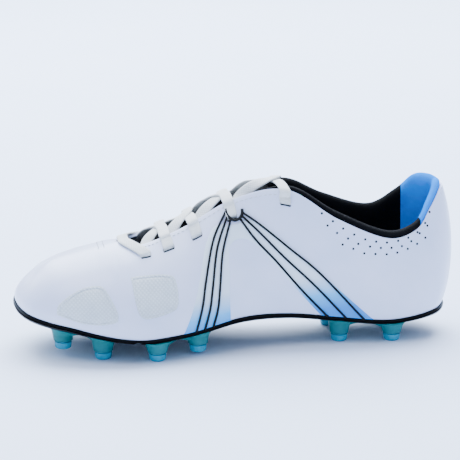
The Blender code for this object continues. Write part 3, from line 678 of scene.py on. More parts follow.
# smooth braided cord, glossy black
CORD = Finish("braided_cord", "#040405", "#010102", (0.4, 0.55), 4.0, Pattern.WEAVE, 0.55, 0.06,
              extra=(("Specular IOR Level", 0.2),))
# flat woven cotton lace, off white and dry, with painted shade in the weave
LACE = Finish("woven_lace", "#F0F0EA", "#E4E4DD", (0.85, 0.95), 5.0, Pattern.WEAVE, 0.8, 0.16, 0.28,
              (("Sheen Weight", 0.3), ("Sheen Roughness", 0.5)))
# sewing thread, grey and darker than the upper as painted shade along the stitch line
SHADED_THREAD = Finish("sewing_thread_painted_shade", "#C9CCD2", "#B4B8C0", (0.6, 0.75), 2.0, Pattern.GRAIN, 0.2, 0.03)
# brushed black knit of the collar and tongue, with painted shade in the knit
LINING = Finish("black_knit", "#060608", "#020203", (0.6, 0.75), 8.0, Pattern.KNIT, 0.7, 0.09, 0.3,
                (("Specular IOR Level", 0.08), ("Sheen Weight", 0.01), ("Sheen Roughness", 0.35)))
# bright blue brushed heel lining, with painted shade in the knit
HEEL = Finish("blue_lining", "#008CF0", "#0080E0", (0.55, 0.7), 9.0, Pattern.KNIT, 0.6, 0.05, 0.12,
              (("Specular IOR Level", 0.0),))
# black sole plastic with a satin skin
PLATE = Finish("black_sole_plastic", "#040405", "#010102", (0.3, 0.42), 12.0, Pattern.GRAIN, 0.7, 0.03,
               extra=(("Specular IOR Level", 0.08),))
CLEAR_PLASTIC = (("Specular IOR Level", 0.3), ("Subsurface Weight", 0.05), ("Subsurface Scale", 0.003))
# teal plastic of the stud bases, a little translucent
TEAL = FadedFinish("teal_stud_plastic", "#007A78", "#00706E", (0.28, 0.4), 6.0, Pattern.GRAIN, 0.8, 0.02,
                   extra=CLEAR_PLASTIC,
                   low_colour="#006E74", mid_colour="#007274", fade=(5.0, 14.0))
# light blue softer plastic of the stud tips
TIP = Finish("blue_stud_plastic", "#009AB2", "#008EA8", (0.3, 0.45), 4.0, Pattern.GRAIN, 0.6, 0.03,
             extra=CLEAR_PLASTIC)
# painted shade in the punched holes and the lace slots; in the punched holes it also stands for the dark
# lining behind
OPENING_SHADE = Finish("punched_hole", "#1E2024", "#101114", (0.8, 0.9), 3.0)
# black fabric face of the foam sockliner, with painted shade in the knit
SOCK = Finish("sockliner_cloth", "#0E0F12", "#08090A", (0.8, 0.92), 10.0, Pattern.KNIT, 0.9, 0.06, 0.25)
# pressed fibre board
BOARD = Finish("fibre_board", "#B9AB8E", "#A2937A", (0.85, 0.95), 5.0, Pattern.GRAIN, 0.4, 0.05)
# black thermoplastic sheet of the heel counter
COUNTER = Finish("counter_sheet", "#101216", "#0A0B0E", (0.6, 0.75), 6.0, Pattern.GRAIN, 0.5, 0.03)
# grey padding foam
FOAM = Finish("padding_foam", "#8A8D92", "#777A80", (0.85, 0.95), 4.0, Pattern.CELLS, 0.6, 0.15)
# clear film on the lace ends
AGLET = Finish("lace_tip_film", "#E8E8E4", "#DCDCD8", (0.12, 0.2), 3.0, extra=(("Coat Weight", 0.6),))
# seamless paper under the boot
PAPER = Finish("studio_paper", "#E4EEFF", "#E1ECFF", (0.9, 0.95), 300.0, Pattern.GRAIN, 2.0, 0.01)


def dress(obj: bpy.types.Object, finish: Finish) -> bpy.types.Object:
    """Gives a piece its material, made once for each finish."""
    material = bpy.data.materials.get(finish.name) or finish.build()
    obj.data.materials.clear()
    obj.data.materials.append(material)
    return obj


# ------------------------------------------------------------------------------------------- attaching
@dataclass(frozen=True)
class FlexZone:
    """The stretch of the boot that bends, around the ball of the foot."""

    middle: float = -72.6
    half: float = 23.0

    def attach(self, obj: bpy.types.Object) -> None:
        """Puts a piece on the body it belongs to, or leaves it on no body where it reaches into the stretch.
        """
        x = [vertex.co.x / MM for vertex in obj.data.vertices]
        low, high = self.middle - self.half, self.middle + self.half
        if max(x) <= low:
            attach(obj, Body.FORE.value)
        elif min(x) >= high:
            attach(obj, Body.REAR.value)
        else:
            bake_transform(obj)


FLEX = FlexZone()


def done(obj: bpy.types.Object, finish: Finish, stands_for: Sequence[str] = (),
         body: Body | None = None, angle: float = 40.0) -> bpy.types.Object:
    """Shades, dresses and attaches a finished piece.

    Args:
        obj: the piece, at the origin.
        finish: its material.
        stands_for: the CAD nodes that it replaces.
        body: the body it rides on, or None to let FLEX choose its body by where it lies, or none across the
            stretch.
        angle: edges sharper than this stay sharp.

    Returns:
        The piece.
    """
    shade(dress(obj, finish), angle)
    if stands_for:
        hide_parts(*stands_for)
    if body is None:
        FLEX.attach(obj)
    else:
        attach(obj, body.value)
    LOG.info("%s: %d faces", obj.name, len(obj.data.polygons))
    return obj


# ------------------------------------------------------------------------------------------- the upper
@dataclass
class Slot:
    """One lace slot in the eyestay, in stations and heights."""

    start: float
    end: float
    low: float = 0.80
    high: float = 0.84

    @property
    def u(self) -> float:
        """Its middle station."""
        return 0.5 * (self.start + self.end)

    @property
    def v(self) -> float:
        """Its middle height."""
        return 0.5 * (self.low + self.high)


SLOTS = (Slot(6.95, 7.21), Slot(7.49, 7.73), Slot(8.09, 8.30), Slot(8.79, 9.00),
         Slot(9.85, 10.07, 0.87, 0.90))


def grid_lines(low: float, high: float, count: int, fixed: Sequence[float]) -> Points:
    """Even values from low to high, moved aside where a fixed value needs its own line."""
    even = span(low, high, count)
    pitch = 0.6 * (high - low) / count
    kept = [x for x in even if all(abs(x - f) > pitch for f in fixed) or x in (low, high)]
    return np.array(sorted(kept + list(fixed)))


@dataclass
class Upper:
    """The seamless coated upper with its slots, stitches and punched holes."""

    thick: float = 1.6
    edge_round: float = 0.45
    hole_radius: float = 0.75
    # (share of the radius, height) of the cup's rings
    hole_rings: tuple = ((0.0, 0.03), (0.8, 0.04), (1.0, 0.07), (1.12, -0.1))
    # radius of the painted shade strip at each slot
    shade_strip_radius: float = 0.42
    hole_rows: tuple = (
        ((50.0, 86.3), (57.0, 81.1), (63.5, 76.3), (70.5, 72.3), (77.5, 69.1), (84.5, 67.4), (91.5, 66.5),
         (99.0, 67.1), (106.0, 68.4), (112.5, 71.2), (118.0, 76.4), (121.5, 82.8)),
        ((53.5, 78.6), (59.5, 73.7), (66.5, 70.0), (73.0, 66.4), (80.5, 64.4), (87.5, 63.3), (94.5, 63.0),
         (101.5, 63.5), (108.0, 66.0), (114.0, 70.4), (119.5, 74.6)),
        ((63.0, 66.3), (69.8, 63.4), (76.8, 60.3), (84.0, 59.6), (91.3, 59.1), (98.3, 59.7), (105.5, 61.5),
         (112.0, 64.0), (117.8, 67.3)))
    stitch_from: float = 6.3
    stitch_to: float = 9.75
    stitch_count: int = 38
    stitch_v: float = 0.945
    stitch_length: float = 0.05
    stitch_rise: float = 0.12
    stitch_radius: float = 0.24
    # x of the bar tack's two columns, and y of the stitches in each
    tack_columns: tuple = (-89.0, -85.5)
    tack_rows: tuple = (0.8, 2.8, 4.8, 6.8)
    tack_length: float = 1.3
    columns: int = 230
    rows: int = 40
    sheet_size: tuple = (420.0, 70.0)

    def shell(self) -> bpy.types.Object:
        """Both sides in one sheet, cut at the slots, thickened inwards and rounded at its edges."""
        us = grid_lines(0.0, LAST.heel, self.columns, [x for s in SLOTS for x in (s.start, s.end)])
        vs = grid_lines(0.0, 1.0, self.rows, sorted({x for s in SLOTS for x in (s.low, s.high)}))
        halves = []
        for side in Side:
            half = lay_grid("half", us, vs, lambda u, v: LAST.at(side, u, v, 0.0), self.sheet_size)
            drop_faces(half, self.slot_test(side))
            halves.append(half)
        shell = join(halves, "upper")
        merge(shell, 0.05)
        self.face_outwards(shell)
        apply(shell, "SOLIDIFY", thickness=self.thick * MM, offset=-1.0, use_even_offset=False)
        apply(shell, "BEVEL", width=self.edge_round * MM, segments=2, limit_method="ANGLE",
              angle_limit=math.radians(60.0))
        return shell

    def slot_test(self, side: Side) -> Callable[[Points], Points]:
        """A test for places, in millimetres in the row frame, that lie inside a lace slot."""
        boxes = []
        for slot in SLOTS:
            start, end = (LAST.at(side, u, slot.v, 0.0)[0] for u in (slot.start, slot.end))
            low, high = (LAST.at(side, slot.u, v, 0.0)[0] for v in (slot.low, slot.high))
            middle = LAST.at(side, slot.u, slot.v, 0.0)[0] + LAST.centre
            boxes.append((middle, unit(end - start), np.linalg.norm(end - start), np.linalg.norm(high - low)))

        def in_slot(centres: Points) -> Points:
            """Whether each place is in one of the slots."""
            found = np.zeros(len(centres), bool)
            for middle, run, length, height in boxes:
                away = centres - middle
                rest = np.linalg.norm(away - np.outer(away @ run, run), axis=1)
                found |= (np.abs(away @ run) < 0.5 * length) & (rest < 0.5 * height)
            return found

        return in_slot

    def face_outwards(self, shell: bpy.types.Object) -> None:
        """Turns the sheet over if its faces look into the boot."""
        looks = sum(p.normal.y * np.sign(p.center.y) * p.area for p in shell.data.polygons)
        if looks < 0:
            flip(shell)

    def stitches(self, side: Side) -> bpy.types.Object:
        """A row of single stitches beside the throat edge, and the bar tack in front of it."""
        rise = self.stitch_rise
        ends = [[LAST.at(side, u + length, self.stitch_v, rise)[0] for length in (0.0, self.stitch_length)]
                for u in span(self.stitch_from, self.stitch_to, self.stitch_count)]
        ends += [[LAST.at(side, *self.near(side, x, y + step), rise)[0] for step in (0.0, self.tack_length)]
                 for x in self.tack_columns for y in self.tack_rows]
        across = np.tile((0.0, 0.3, 1.0), (3, 1))
        pieces = []
        for start, end in ends:
            path = np.array([start, 0.5 * (start + end) + (0.0, 0.0, rise), end])
            pieces.append(sweep("stitch", path, across, round_profile(self.stitch_radius, 5)))
        return join(pieces, f"stitches_{side.name.lower()}")

    def near(self, side: Side, x: float, y: float) -> tuple[float, float]:
        """Station and height of the place on the vamp that lies at x and y in plan."""
        us, vs = every_pair(np.linspace(4.0, 6.5, 60), np.linspace(0.75, 1.0, 60))
        seen = LAST.point(side, us, vs)
        best = int(np.argmin((seen[:, 0] - x) ** 2 + (np.abs(seen[:, 1]) - y) ** 2))
        return float(us[best]), float(vs[best])

    def holes(self, side: Side) -> bpy.types.Object:
        """The three rows of punched holes under the collar."""
        rims = []
        for row in self.hole_rows:
            places = LAST.locate(side, *np.array(row).T)
            for u, v in zip(*places):
                rims.append(self.hole(side, float(u), float(v)))
        return join(rims, f"punched_holes_{side.name.lower()}")

    def hole(self, side: Side, u: float, v: float) -> bpy.types.Object:
        """One hole, as a shallow cup with its lip on the surface, dark with painted shade and the lining
        inside the hole.
        """
        middle = LAST.at(side, u, v, 0.0)[0]
        out = LAST.normal(side, np.array([u]), np.array([v]))[0]
        first = unit(np.cross(out, (0.0, 0.0, 1.0)))
        second = np.cross(out, first)
        rings = np.array(self.hole_rings)

        def place(r: Points, a: Points) -> Points:
            """Points round each ring of the cup."""
            ring = rings[r.astype(int)]
            radius = ring[:, 0:1] * self.hole_radius
            turn = a * 2.0 * math.pi
            return (middle + radius * (np.cos(turn)[:, None] * first + np.sin(turn)[:, None] * second)
                    + out * ring[:, 1:2])

        obj = lay_grid("hole", range(len(rings)), span(0.0, 1.0, 10), place)
        merge(obj, 0.002)
        return obj

    def slot_shade_strips(self, side: Side) -> bpy.types.Object:
        """A thin dark strip along the lower edge of each slot, under the lace: painted shade in the slot."""
        shade_strips = []
        for slot in SLOTS:
            us = span(slot.start + 0.01, slot.end - 0.01, 10)
            path = LAST.at(side, us, slot.low - 0.004, 0.02)
            out = LAST.normal(side, us, np.full(len(us), slot.low))
            # painted shade along the slot's lower edge
            shade_strips.append(sweep("lip", path, out, round_profile(self.shade_strip_radius, 8)))
        return join(shade_strips, f"slot_lips_{side.name.lower()}")

    def build(self) -> None:
        """Makes the upper's own pieces."""
        nodes = ("vamp", "vamp_flex_zone", "quarter_lateral", "quarter_medial")
        # the upper's blue-lavender tint is painted studio light
        done(self.shell(), UPPER_LIGHT_TINTED, nodes)
        for side in Side:
            # grey thread: painted shade along the stitches
            done(self.stitches(side), SHADED_THREAD)
            # dark cups: painted shade and lining inside the punched holes
            done(self.holes(side), OPENING_SHADE, body=Body.REAR)
            # painted shade strips under the lace at each slot
            done(self.slot_shade_strips(side), OPENING_SHADE)


# ----------------------------------------------------------------------------------- collar and tongue
@dataclass
class Collar:
    """The padded linings: black along both sides and blue round the heel."""

    split: float = 13.27
    front: float = 9.4
    # (height, distance out) of the hidden face, (out, up) from the top edge for the roll, then the inside
    hidden: tuple = ((0.40, -3.7), (0.60, -3.7), (0.78, -3.2), (0.90, -2.1), (0.96, -1.85))
    roll: tuple = ((-1.75, 0.2), (-1.35, 1.4), (-1.35, 2.8), (-2.1, 4.0), (-3.4, 4.7), (-4.9, 4.6),
                   (-6.1, 3.7), (-6.8, 2.2), (-7.0, 0.3))
    inside: tuple = ((0.95, -7.0), (0.88, -6.6), (0.75, -6.1), (0.60, -5.9), (0.48, -5.5), (0.38, -5.0),
                     (0.345, -4.4))
    # (height, distance out) round the foam, which starts at a station
    foam_section: tuple = ((0.66, -2.1), (0.8, -2.0), (0.92, -1.95), (0.94, -2.3), (0.92, -3.0), (0.8, -3.0),
                           (0.66, -2.9))
    foam_start: float = 10.3
    around: int = 66
    size: tuple = (150.0, 100.0)

    def section(self, side: Side, u: Points) -> Points:
        """Points round the lining at each station: stations first, then places."""
        out = LAST.normal(side, u, np.full(len(u), 0.999))
        top = LAST.point(side, u, np.ones(len(u)))
        rise = unit(top - LAST.point(side, u, np.full(len(u), 0.98)))
        rise = unit(rise + (0.0, 0.0, 0.6))
        rows = [LAST.at(side, u, v, w) for v, w in self.hidden]
        grow = (0.25 + 0.75 * smoothstep(u, self.front, 10.5))[:, None]
        rows += [top + out * a + rise * b * grow for a, b in self.roll]
        rows += [LAST.at(side, u, v, w) for v, w in self.inside]
        return np.stack(rows, 1)

    def lining(self, name: str, sides: Sequence[Side], us: Points) -> bpy.types.Object:
        """A closed padded lining over some stations; the heel's runs round both sides.

        Args:
            name: the new object's name.
            sides: the side, or both sides for the heel.
            us: stations of its rows.

        Returns:
            The object.
        """
        sections = self.section(sides[0], us)
        if len(sides) == 2:
            other = self.section(sides[1], us[::-1])[1:]
            sections = np.concatenate((sections, other))
        rows = np.stack([smooth_path([*row, row[0]], self.around)[:-1] for row in sections])
        return tube(name, range(len(rows)), self.around, lambda i, k: rows[i.astype(int), k], self.size)

    def foam(self) -> bpy.types.Object:
        """The padding between the upper and the lining."""
        section = np.array(self.foam_section)
        count = len(section)
        us = span(self.foam_start, LAST.heel, 60)
        parts = []
        for side in Side:

            def place(u: Points, k: Points) -> Points:
                """Points round the foam at each station."""
                return LAST.at(side, u, *section[k.astype(int) % count].T)

            parts.append(lay_grid("foam", us, range(count + 1), place))
        foam = join(parts, "collar_padding")
        merge(foam)
        return foam

    def build(self) -> None:
        """Makes the linings and their foam."""
        for side in Side:
            name = f"collar_lining_{side.name.lower()}"
            obj = self.lining("knit_" + name, (side,), span(self.front, self.split, 90))
            done(obj, LINING, (name,), Body.REAR, 60.0)
        obj = self.lining("blue_heel_lining", tuple(Side), span(self.split, LAST.heel, 80))
        done(obj, HEEL, ("heel_lining",), Body.REAR, 60.0)
        obj = done(self.foam(), FOAM, ("collar_foam",), Body.REAR)


@dataclass
class Tongue:
    """The padded tongue under the lace."""

    start: float = 7.0
    end: float = 9.65
    crown: float = 2.2
    front_drop: float = 2.6
    edge_round: float = 0.5
    face: float = -3.8
    middle: float = -4.9
    back: float = -6.8

    def row(self, u: Points, w: float) -> Points:
        """Points across the tongue at each station."""
        front = smoothstep(-u, -8.0, -7.0)
        depth = w - self.front_drop * front
        lateral = [LAST.at(Side.LATERAL, u, v, depth) for v in (0.80, 0.90, 1.0)]
        medial = [LAST.at(Side.MEDIAL, u, v, depth) for v in (1.0, 0.90, 0.80)]
        crown = 0.5 * (lateral[-1] + medial[0])
        crown[:, 2] += self.crown * (1.0 - 0.8 * front)
        knots = np.stack([*lateral, crown, *medial], 1)
        return np.stack([smooth_path(row, 36) for row in knots])

    def sheet(self, name: str, top: float, bottom: float) -> bpy.types.Object:
        """A closed layer of the tongue between two depths."""
        us = span(self.start, self.end, 60)
        upper, lower = self.row(us, top), self.row(us, bottom)
        middle = 0.5 * (upper + lower)
        first = middle[:, :1] + unit(middle[:, :1] - middle[:, 2:3]) * self.edge_round
        last = middle[:, -1:] + unit(middle[:, -1:] - middle[:, -3:-2]) * self.edge_round
        ring = np.concatenate((upper, last, lower[:, ::-1], first), 1)
        return tube(name, range(len(us)), ring.shape[1], lambda i, k: ring[i.astype(int), k], (90.0, 110.0))

    def build(self) -> None:
        """Makes the tongue's face and its lining."""
        face = self.sheet("tongue_face", self.face, self.middle)
        done(face, LINING, ("tongue",), Body.TONGUE)
        back = self.sheet("tongue_back", self.middle - 0.2, self.back)
        done(back, LINING, ("tongue_lining",), Body.TONGUE)


# -------------------------------------------------------------------------------------------- overlays
@dataclass
class GripPad:
    """A moulded grip pad with a raised border."""

    name: str
    outline: tuple
    # (share of the way from the middle to the outline, height) of the face, the border and the hidden back
    rings: tuple = ((0.0, 0.45), (0.2, 0.45), (0.4, 0.45), (0.6, 0.45), (0.76, 0.45), (0.84, 0.42),
                    (0.865, 0.18), (0.89, 0.18), (0.91, 0.55), (0.95, 0.62), (0.985, 0.5), (1.0, 0.15),
                    (1.0, -0.15), (0.5, -0.2), (0.0, -0.2))
    around: int = 120

    def build(self, side: Side) -> None:
        """Lays the pad on one side of the upper."""
        rim = even_path(smooth_path([*self.outline, self.outline[0]], 160), self.around)
        centre = rim[:-1].mean(axis=0)
        rings = np.array(self.rings)

        def place(i: Points, k: Points) -> Points:
            """Points round each ring of the pad."""
            ring = rings[i.astype(int)]
            return LAST.seen_at(side, centre + (rim[k] - centre) * ring[:, 0:1], ring[:, 1])

        obj = tube(f"grip_{self.name}_{side.name.lower()}", range(len(rings)), self.around, place, gap=0.01)
        self.map_flat(obj)
        done(obj, GRIP, (f"grip_pad_{self.name}_{side.name.lower()}",))

    def map_flat(self, obj: bpy.types.Object) -> None:
        """Gives the pad an even UV map from its side view, so that its dots stay round."""
        uv = obj.data.uv_layers.active.data
        for loop in obj.data.loops:
            place = obj.data.vertices[loop.vertex_index].co
            uv[loop.index].uv = (place.x * 10.0, place.z * 10.0)


# outlines in side view: x and height
FRONT_PAD = GripPad("front", (
    (-117.5, 31.8), (-116.6, 37.0), (-110.7, 42.1), (-102.4, 46.8), (-94.7, 48.5), (-89.2, 48.1),
    (-86.0, 44.2), (-81.9, 36.5), (-80.5, 31.0), (-82.8, 27.6), (-92.8, 26.3), (-104.7, 27.6)))
REAR_PAD = GripPad("rear", (
    (-71.5, 52.5), (-62.0, 53.3), (-52.5, 53.5), (-45.5, 52.3), (-43.6, 48.5), (-42.8, 41.5), (-44.0, 34.5),
    (-50.0, 31.5), (-60.5, 29.4), (-66.5, 30.6), (-69.5, 38.0)))


@dataclass
class SupportBand:
    """The film band and its cords, from the loop at the fourth row down both legs to the sole."""

    outer: tuple = ((-40.3, 16.6), (-34.0, 32.0), (-28.5, 50.0), (-23.5, 68.0), (-16.5, 79.0), (-4.5, 80.0),
                    (9.5, 82.0), (29.0, 66.5), (47.5, 50.0), (64.0, 34.5), (83.5, 16.4))
    inner: tuple = ((-9.4, 20.8), (-10.0, 38.0), (-9.5, 50.0), (-9.5, 60.0), (-8.0, 68.0), (-2.0, 71.5),
                    (6.0, 69.5), (17.0, 58.5), (27.0, 46.5), (37.0, 35.0), (50.3, 19.8))
    cords: tuple = (
        ((-9.0, 87.6), (-18.5, 71.0), (-25.0, 48.5), (-28.0, 34.0), (-32.6, 17.6)),
        ((-8.6, 84.6), (-16.6, 66.0), (-21.0, 44.0), (-23.2, 32.0), (-27.0, 18.6)),
        ((-6.6, 83.0), (-13.2, 64.0), (-16.3, 44.0), (-18.0, 32.0), (-21.4, 19.6)),
        ((0.5, 87.2), (12.0, 79.5), (29.5, 65.0), (49.0, 48.0), (77.2, 17.3)),
        ((1.0, 84.4), (10.8, 75.2), (27.0, 58.5), (45.0, 41.0), (65.5, 18.7)),
        ((-0.6, 82.8), (8.0, 71.0), (20.5, 57.5), (37.0, 38.0), (54.2, 19.5)))
    loop: tuple = ((-8.9, 88.4), (-8.5, 86.0), (-7.0, 83.4), (-4.2, 82.2), (-1.2, 83.4), (0.6, 86.0),
                   (0.9, 88.8))
    # (share of the way from the outer to the inner outline, height) round the film
    section: tuple = ((0.0, -0.1), (0.0, 0.2), (0.03, 0.34), (0.15, 0.36), (0.3, 0.36), (0.5, 0.36),
                      (0.7, 0.36), (0.85, 0.36), (0.97, 0.34), (1.0, 0.2), (1.0, -0.1), (0.5, -0.15))
    film_top: float = 0.36
    rows: int = 90
    cord_radius: float = 0.72
    loop_radius: float = 0.98

    def film(self, side: Side) -> bpy.types.Object:
        """The band itself."""
        outer, inner = smooth_path(self.outer, self.rows), smooth_path(self.inner, self.rows)
        section = np.array(self.section)

        def place(i: Points, k: Points) -> Points:
            """Points round the film at each row."""
            i = i.astype(int)
            return LAST.seen_at(side, outer[i] + (inner[i] - outer[i]) * section[k, 0:1], section[k, 1])

        name = f"band_film_{side.name.lower()}"
        return tube(name, range(self.rows + 1), len(section), place, (250.0, 30.0))

    def cord(self, side: Side, route: tuple, radius: float) -> bpy.types.Object:
        """One round cord along a route in side view."""
        flat = smooth_path(route, 48)
        u, v = LAST.locate(side, flat[:, 0], flat[:, 1])
        path = LAST.at(side, u, v, self.film_top + 0.75 * radius)
        return sweep("cord", path, LAST.normal(side, u, v), round_profile(radius, 10))

    def build(self, side: Side) -> None:
        """Lays the band, its six cords and the loop on one side."""
        name = side.name.lower()
        done(self.film(side), BAND, (f"support_band_{name}",))
        ropes = [self.cord(side, route, self.cord_radius) for route in self.cords]
        ropes.append(self.cord(side, self.loop, self.loop_radius))
        cords = join(ropes, f"lockdown_cords_{name}")
        done(cords, CORD, (f"support_cords_{name}",), None, 60.0)


# ------------------------------------------------------------------------------------------------ lace
@dataclass
class Lace:
    """One flat lace: a bar at the front slots, then crossed straps up to the top slots."""

    width: float = 7.0
    thick: float = 1.35
    over: float = 1.15
    bar_lean: float = 0.58
    cross_lift: float = 1.5

    def side_run(self, side: Side, u: float) -> Points:
        """Direction along the eyestay at a station."""
        return unit(LAST.at(side, u + 0.05, 0.9, 0.0) - LAST.at(side, u - 0.05, 0.9, 0.0))[0]

    def rope(self, knots: Sequence[tuple[Points, Points]], spans: int) -> bpy.types.Object:
        """A flat strip through (point, direction across) knots."""
        path = smooth_path([p for p, _ in knots], spans)
        across = smooth_path([a for _, a in knots], spans)
        return sweep("strap", path, across, flat_profile(self.width, self.thick))

    def entry(self, side: Side, slot: Slot, lean: float) -> list[tuple[Points, Points]]:
        """Knots from under the eyestay, out of a slot, and up over the throat edge."""
        run = self.side_run(side, slot.u)
        places = ((slot.u, slot.v - 0.05, -2.9), (slot.u, slot.v - 0.012, -1.4),
                  (slot.u, slot.v + 0.002, 0.2), (slot.u, slot.v + 0.022, self.over),
                  (slot.u - 0.3 * lean, 0.93, self.over + 0.1), (slot.u - lean, 1.0, self.over + 0.7))
        return [(LAST.at(side, u, v, w)[0], run) for u, v, w in places]

    def strap(self, side: Side, row: int, lift: float) -> bpy.types.Object:
        """A strap from a slot, over the throat and down behind the other edge beside the slot in front."""
        other = Side.MEDIAL if side is Side.LATERAL else Side.LATERAL
        slot, goal = SLOTS[row + 1], SLOTS[row]
        gap = slot.u - goal.u
        knots = self.entry(side, slot, 0.0)
        run = unit(self.side_run(side, slot.u) + self.side_run(other, goal.u))
        for share, back, rise in ((0.46, 0.10, 2.5 + lift), (0.72, 0.48, 2.0 + 0.5 * lift)):
            u = slot.u - back * gap
            near, far = (LAST.at(s, u, 1.0, 0.0)[0] for s in (side, other))
            knots.append((near * (1.0 - share) + far * share + np.array((0.0, 0.0, rise)), run))
        edge = LAST.at(other, goal.u + 0.22 * gap, 1.0, 0.0)[0]
        behind = edge + np.array((0.0, -other.value * 2.8, -0.9))
        tuck = LAST.at(other, goal.u + 0.14 * gap, 0.93, -2.6)[0]
        under = LAST.at(other, goal.u + 0.05 * gap, goal.v + 0.04, -2.7)[0]
        down = self.side_run(other, goal.u)
        knots += [(behind, down), (tuck, down), (under, down)]
        return self.rope(knots, 90)

    def bar(self) -> bpy.types.Object:
        """The front bar, from one front slot over the throat's end to the other."""
        slot = SLOTS[0]
        lateral, medial = (self.entry(side, slot, self.bar_lean) for side in Side)
        edges = [LAST.at(side, slot.u - self.bar_lean - 0.04, 1.0, 0.0)[0] for side in Side]
        crown = 0.5 * (edges[0] + edges[1]) + np.array((0.0, 0.0, 1.2))
        return self.rope([*lateral, (crown, np.array((1.0, 0.0, 0.25))), *medial[::-1]], 110)

    def tail(self, side: Side, slot: Slot) -> bpy.types.Object:
        """A tucked end that runs down behind the eyestay."""
        run = self.side_run(side, slot.u)
        heights = np.linspace(slot.v - 0.02, 0.55, 6)
        return self.rope([(LAST.at(side, slot.u, v, -2.8)[0], run) for v in heights], 24)

    def build(self) -> None:
        """Makes the whole lace as one piece."""
        parts = [self.bar()]
        for row in range(len(SLOTS) - 1):
            raised = self.cross_lift if row % 2 == 0 else 0.0
            parts.append(self.strap(Side.LATERAL, row, raised))
            parts.append(self.strap(Side.MEDIAL, row, self.cross_lift - raised))
        parts += [self.tail(Side.LATERAL, SLOTS[0]), self.tail(Side.MEDIAL, SLOTS[-1])]
        done(join(parts, "flat_lace"), LACE, ("lace",), None, 50.0)


# -------------------------------------------------------------------------------------- sole and studs
@dataclass
class Plate:
    """The black sole plate with its rim, flex grooves and raised border."""

    proud: float = 0.8
    rim: float = 2.1
    toe_rim: float = 0.9
    edge: float = 3.0
    flex_x: float = -72.0
    notch_x: float = -69.0
    groove_pitch: float = 6.5
    groove_half: float = 16.0

    def place(self, u: Points, k: Points) -> Points:
        """Points round the plate's section: the under face, a rounded rim, and the hidden upper face."""
        across = np.concatenate((span(-1.0, 1.0, 36), (1.0, 1.0), span(1.0, -1.0, 20), (-1.0, -1.0)))
        part = k.astype(int) % len(across)
        t = across[part]
        under = part <= 36
        rim_low = (part == 37) | (part == 60)
        rim_high = (part == 38) | (part == 59)
        rim = self.rim + self.toe_rim * smoothstep(-u, -3.5, -0.5) * smoothstep(np.abs(t), 0.6, 1.0)
        lower = LAST.sole(u, t, -self.proud, False, self.edge)
        lower[:, 2] += self.relief(lower[:, 0], t) + (self.edge - rim) * np.abs(t) ** 8
        upper = LAST.sole(u, t, 0.6, True)
        lip = LAST.sole(u, t, -self.proud - 0.15, True)
        lip_low = lip - (0.0, 0.0, 1.0) * rim[:, None]
        lip_high = LAST.sole(u, t, -0.45, True) + (0.0, 0.0, 0.25)
        lip_low[:, 2] += self.relief(lip_low[:, 0], t) * 0.6
        points = np.where(under[:, None], lower, upper)
        points = np.where(rim_low[:, None], 0.4 * lip + 0.6 * lip_low, points)
        return np.where(rim_high[:, None], lip_high, points)

    def relief(self, x: Points, t: Points) -> Points:
        """How far the under face is raised or cut: flex grooves in the middle and a notch at the edge."""
        away = np.abs(x - self.flex_x)
        groove = 0.9 * smoothstep(np.cos(2 * math.pi * away / self.groove_pitch), 0.55, 0.95)
        groove *= smoothstep(-away, -self.groove_half, -self.groove_half + 3.0)
        groove *= smoothstep(-np.abs(t), -0.86, -0.74)
        spine = -0.9 * smoothstep(-np.abs(t), -0.24, -0.12) * smoothstep(away, 18.0, 24.0)
        border = -0.7 * smoothstep(np.abs(t), 0.78, 0.86) * smoothstep(-np.abs(t), -0.985, -0.93)
        notch = 1.3 * np.exp(-((x - self.notch_x) / 1.7) ** 2) * smoothstep(np.abs(t), 0.9, 1.0)
        return groove + spine + border * smoothstep(away, 6.0, 12.0) + notch

    def build(self) -> None:
        """Makes the plate as one piece."""
        us = np.concatenate((span(0.0, 1.0, 24)[:-1], span(1.0, 15.0, 330)[:-1], span(15.0, LAST.heel, 24)))
        obj = lay_grid("sole_plate", us, range(62), self.place, (280.0, 110.0))
        merge(obj, fill=True)
        done(obj, PLATE, ("forefoot_plate", "rear_plate"), None, 35.0)


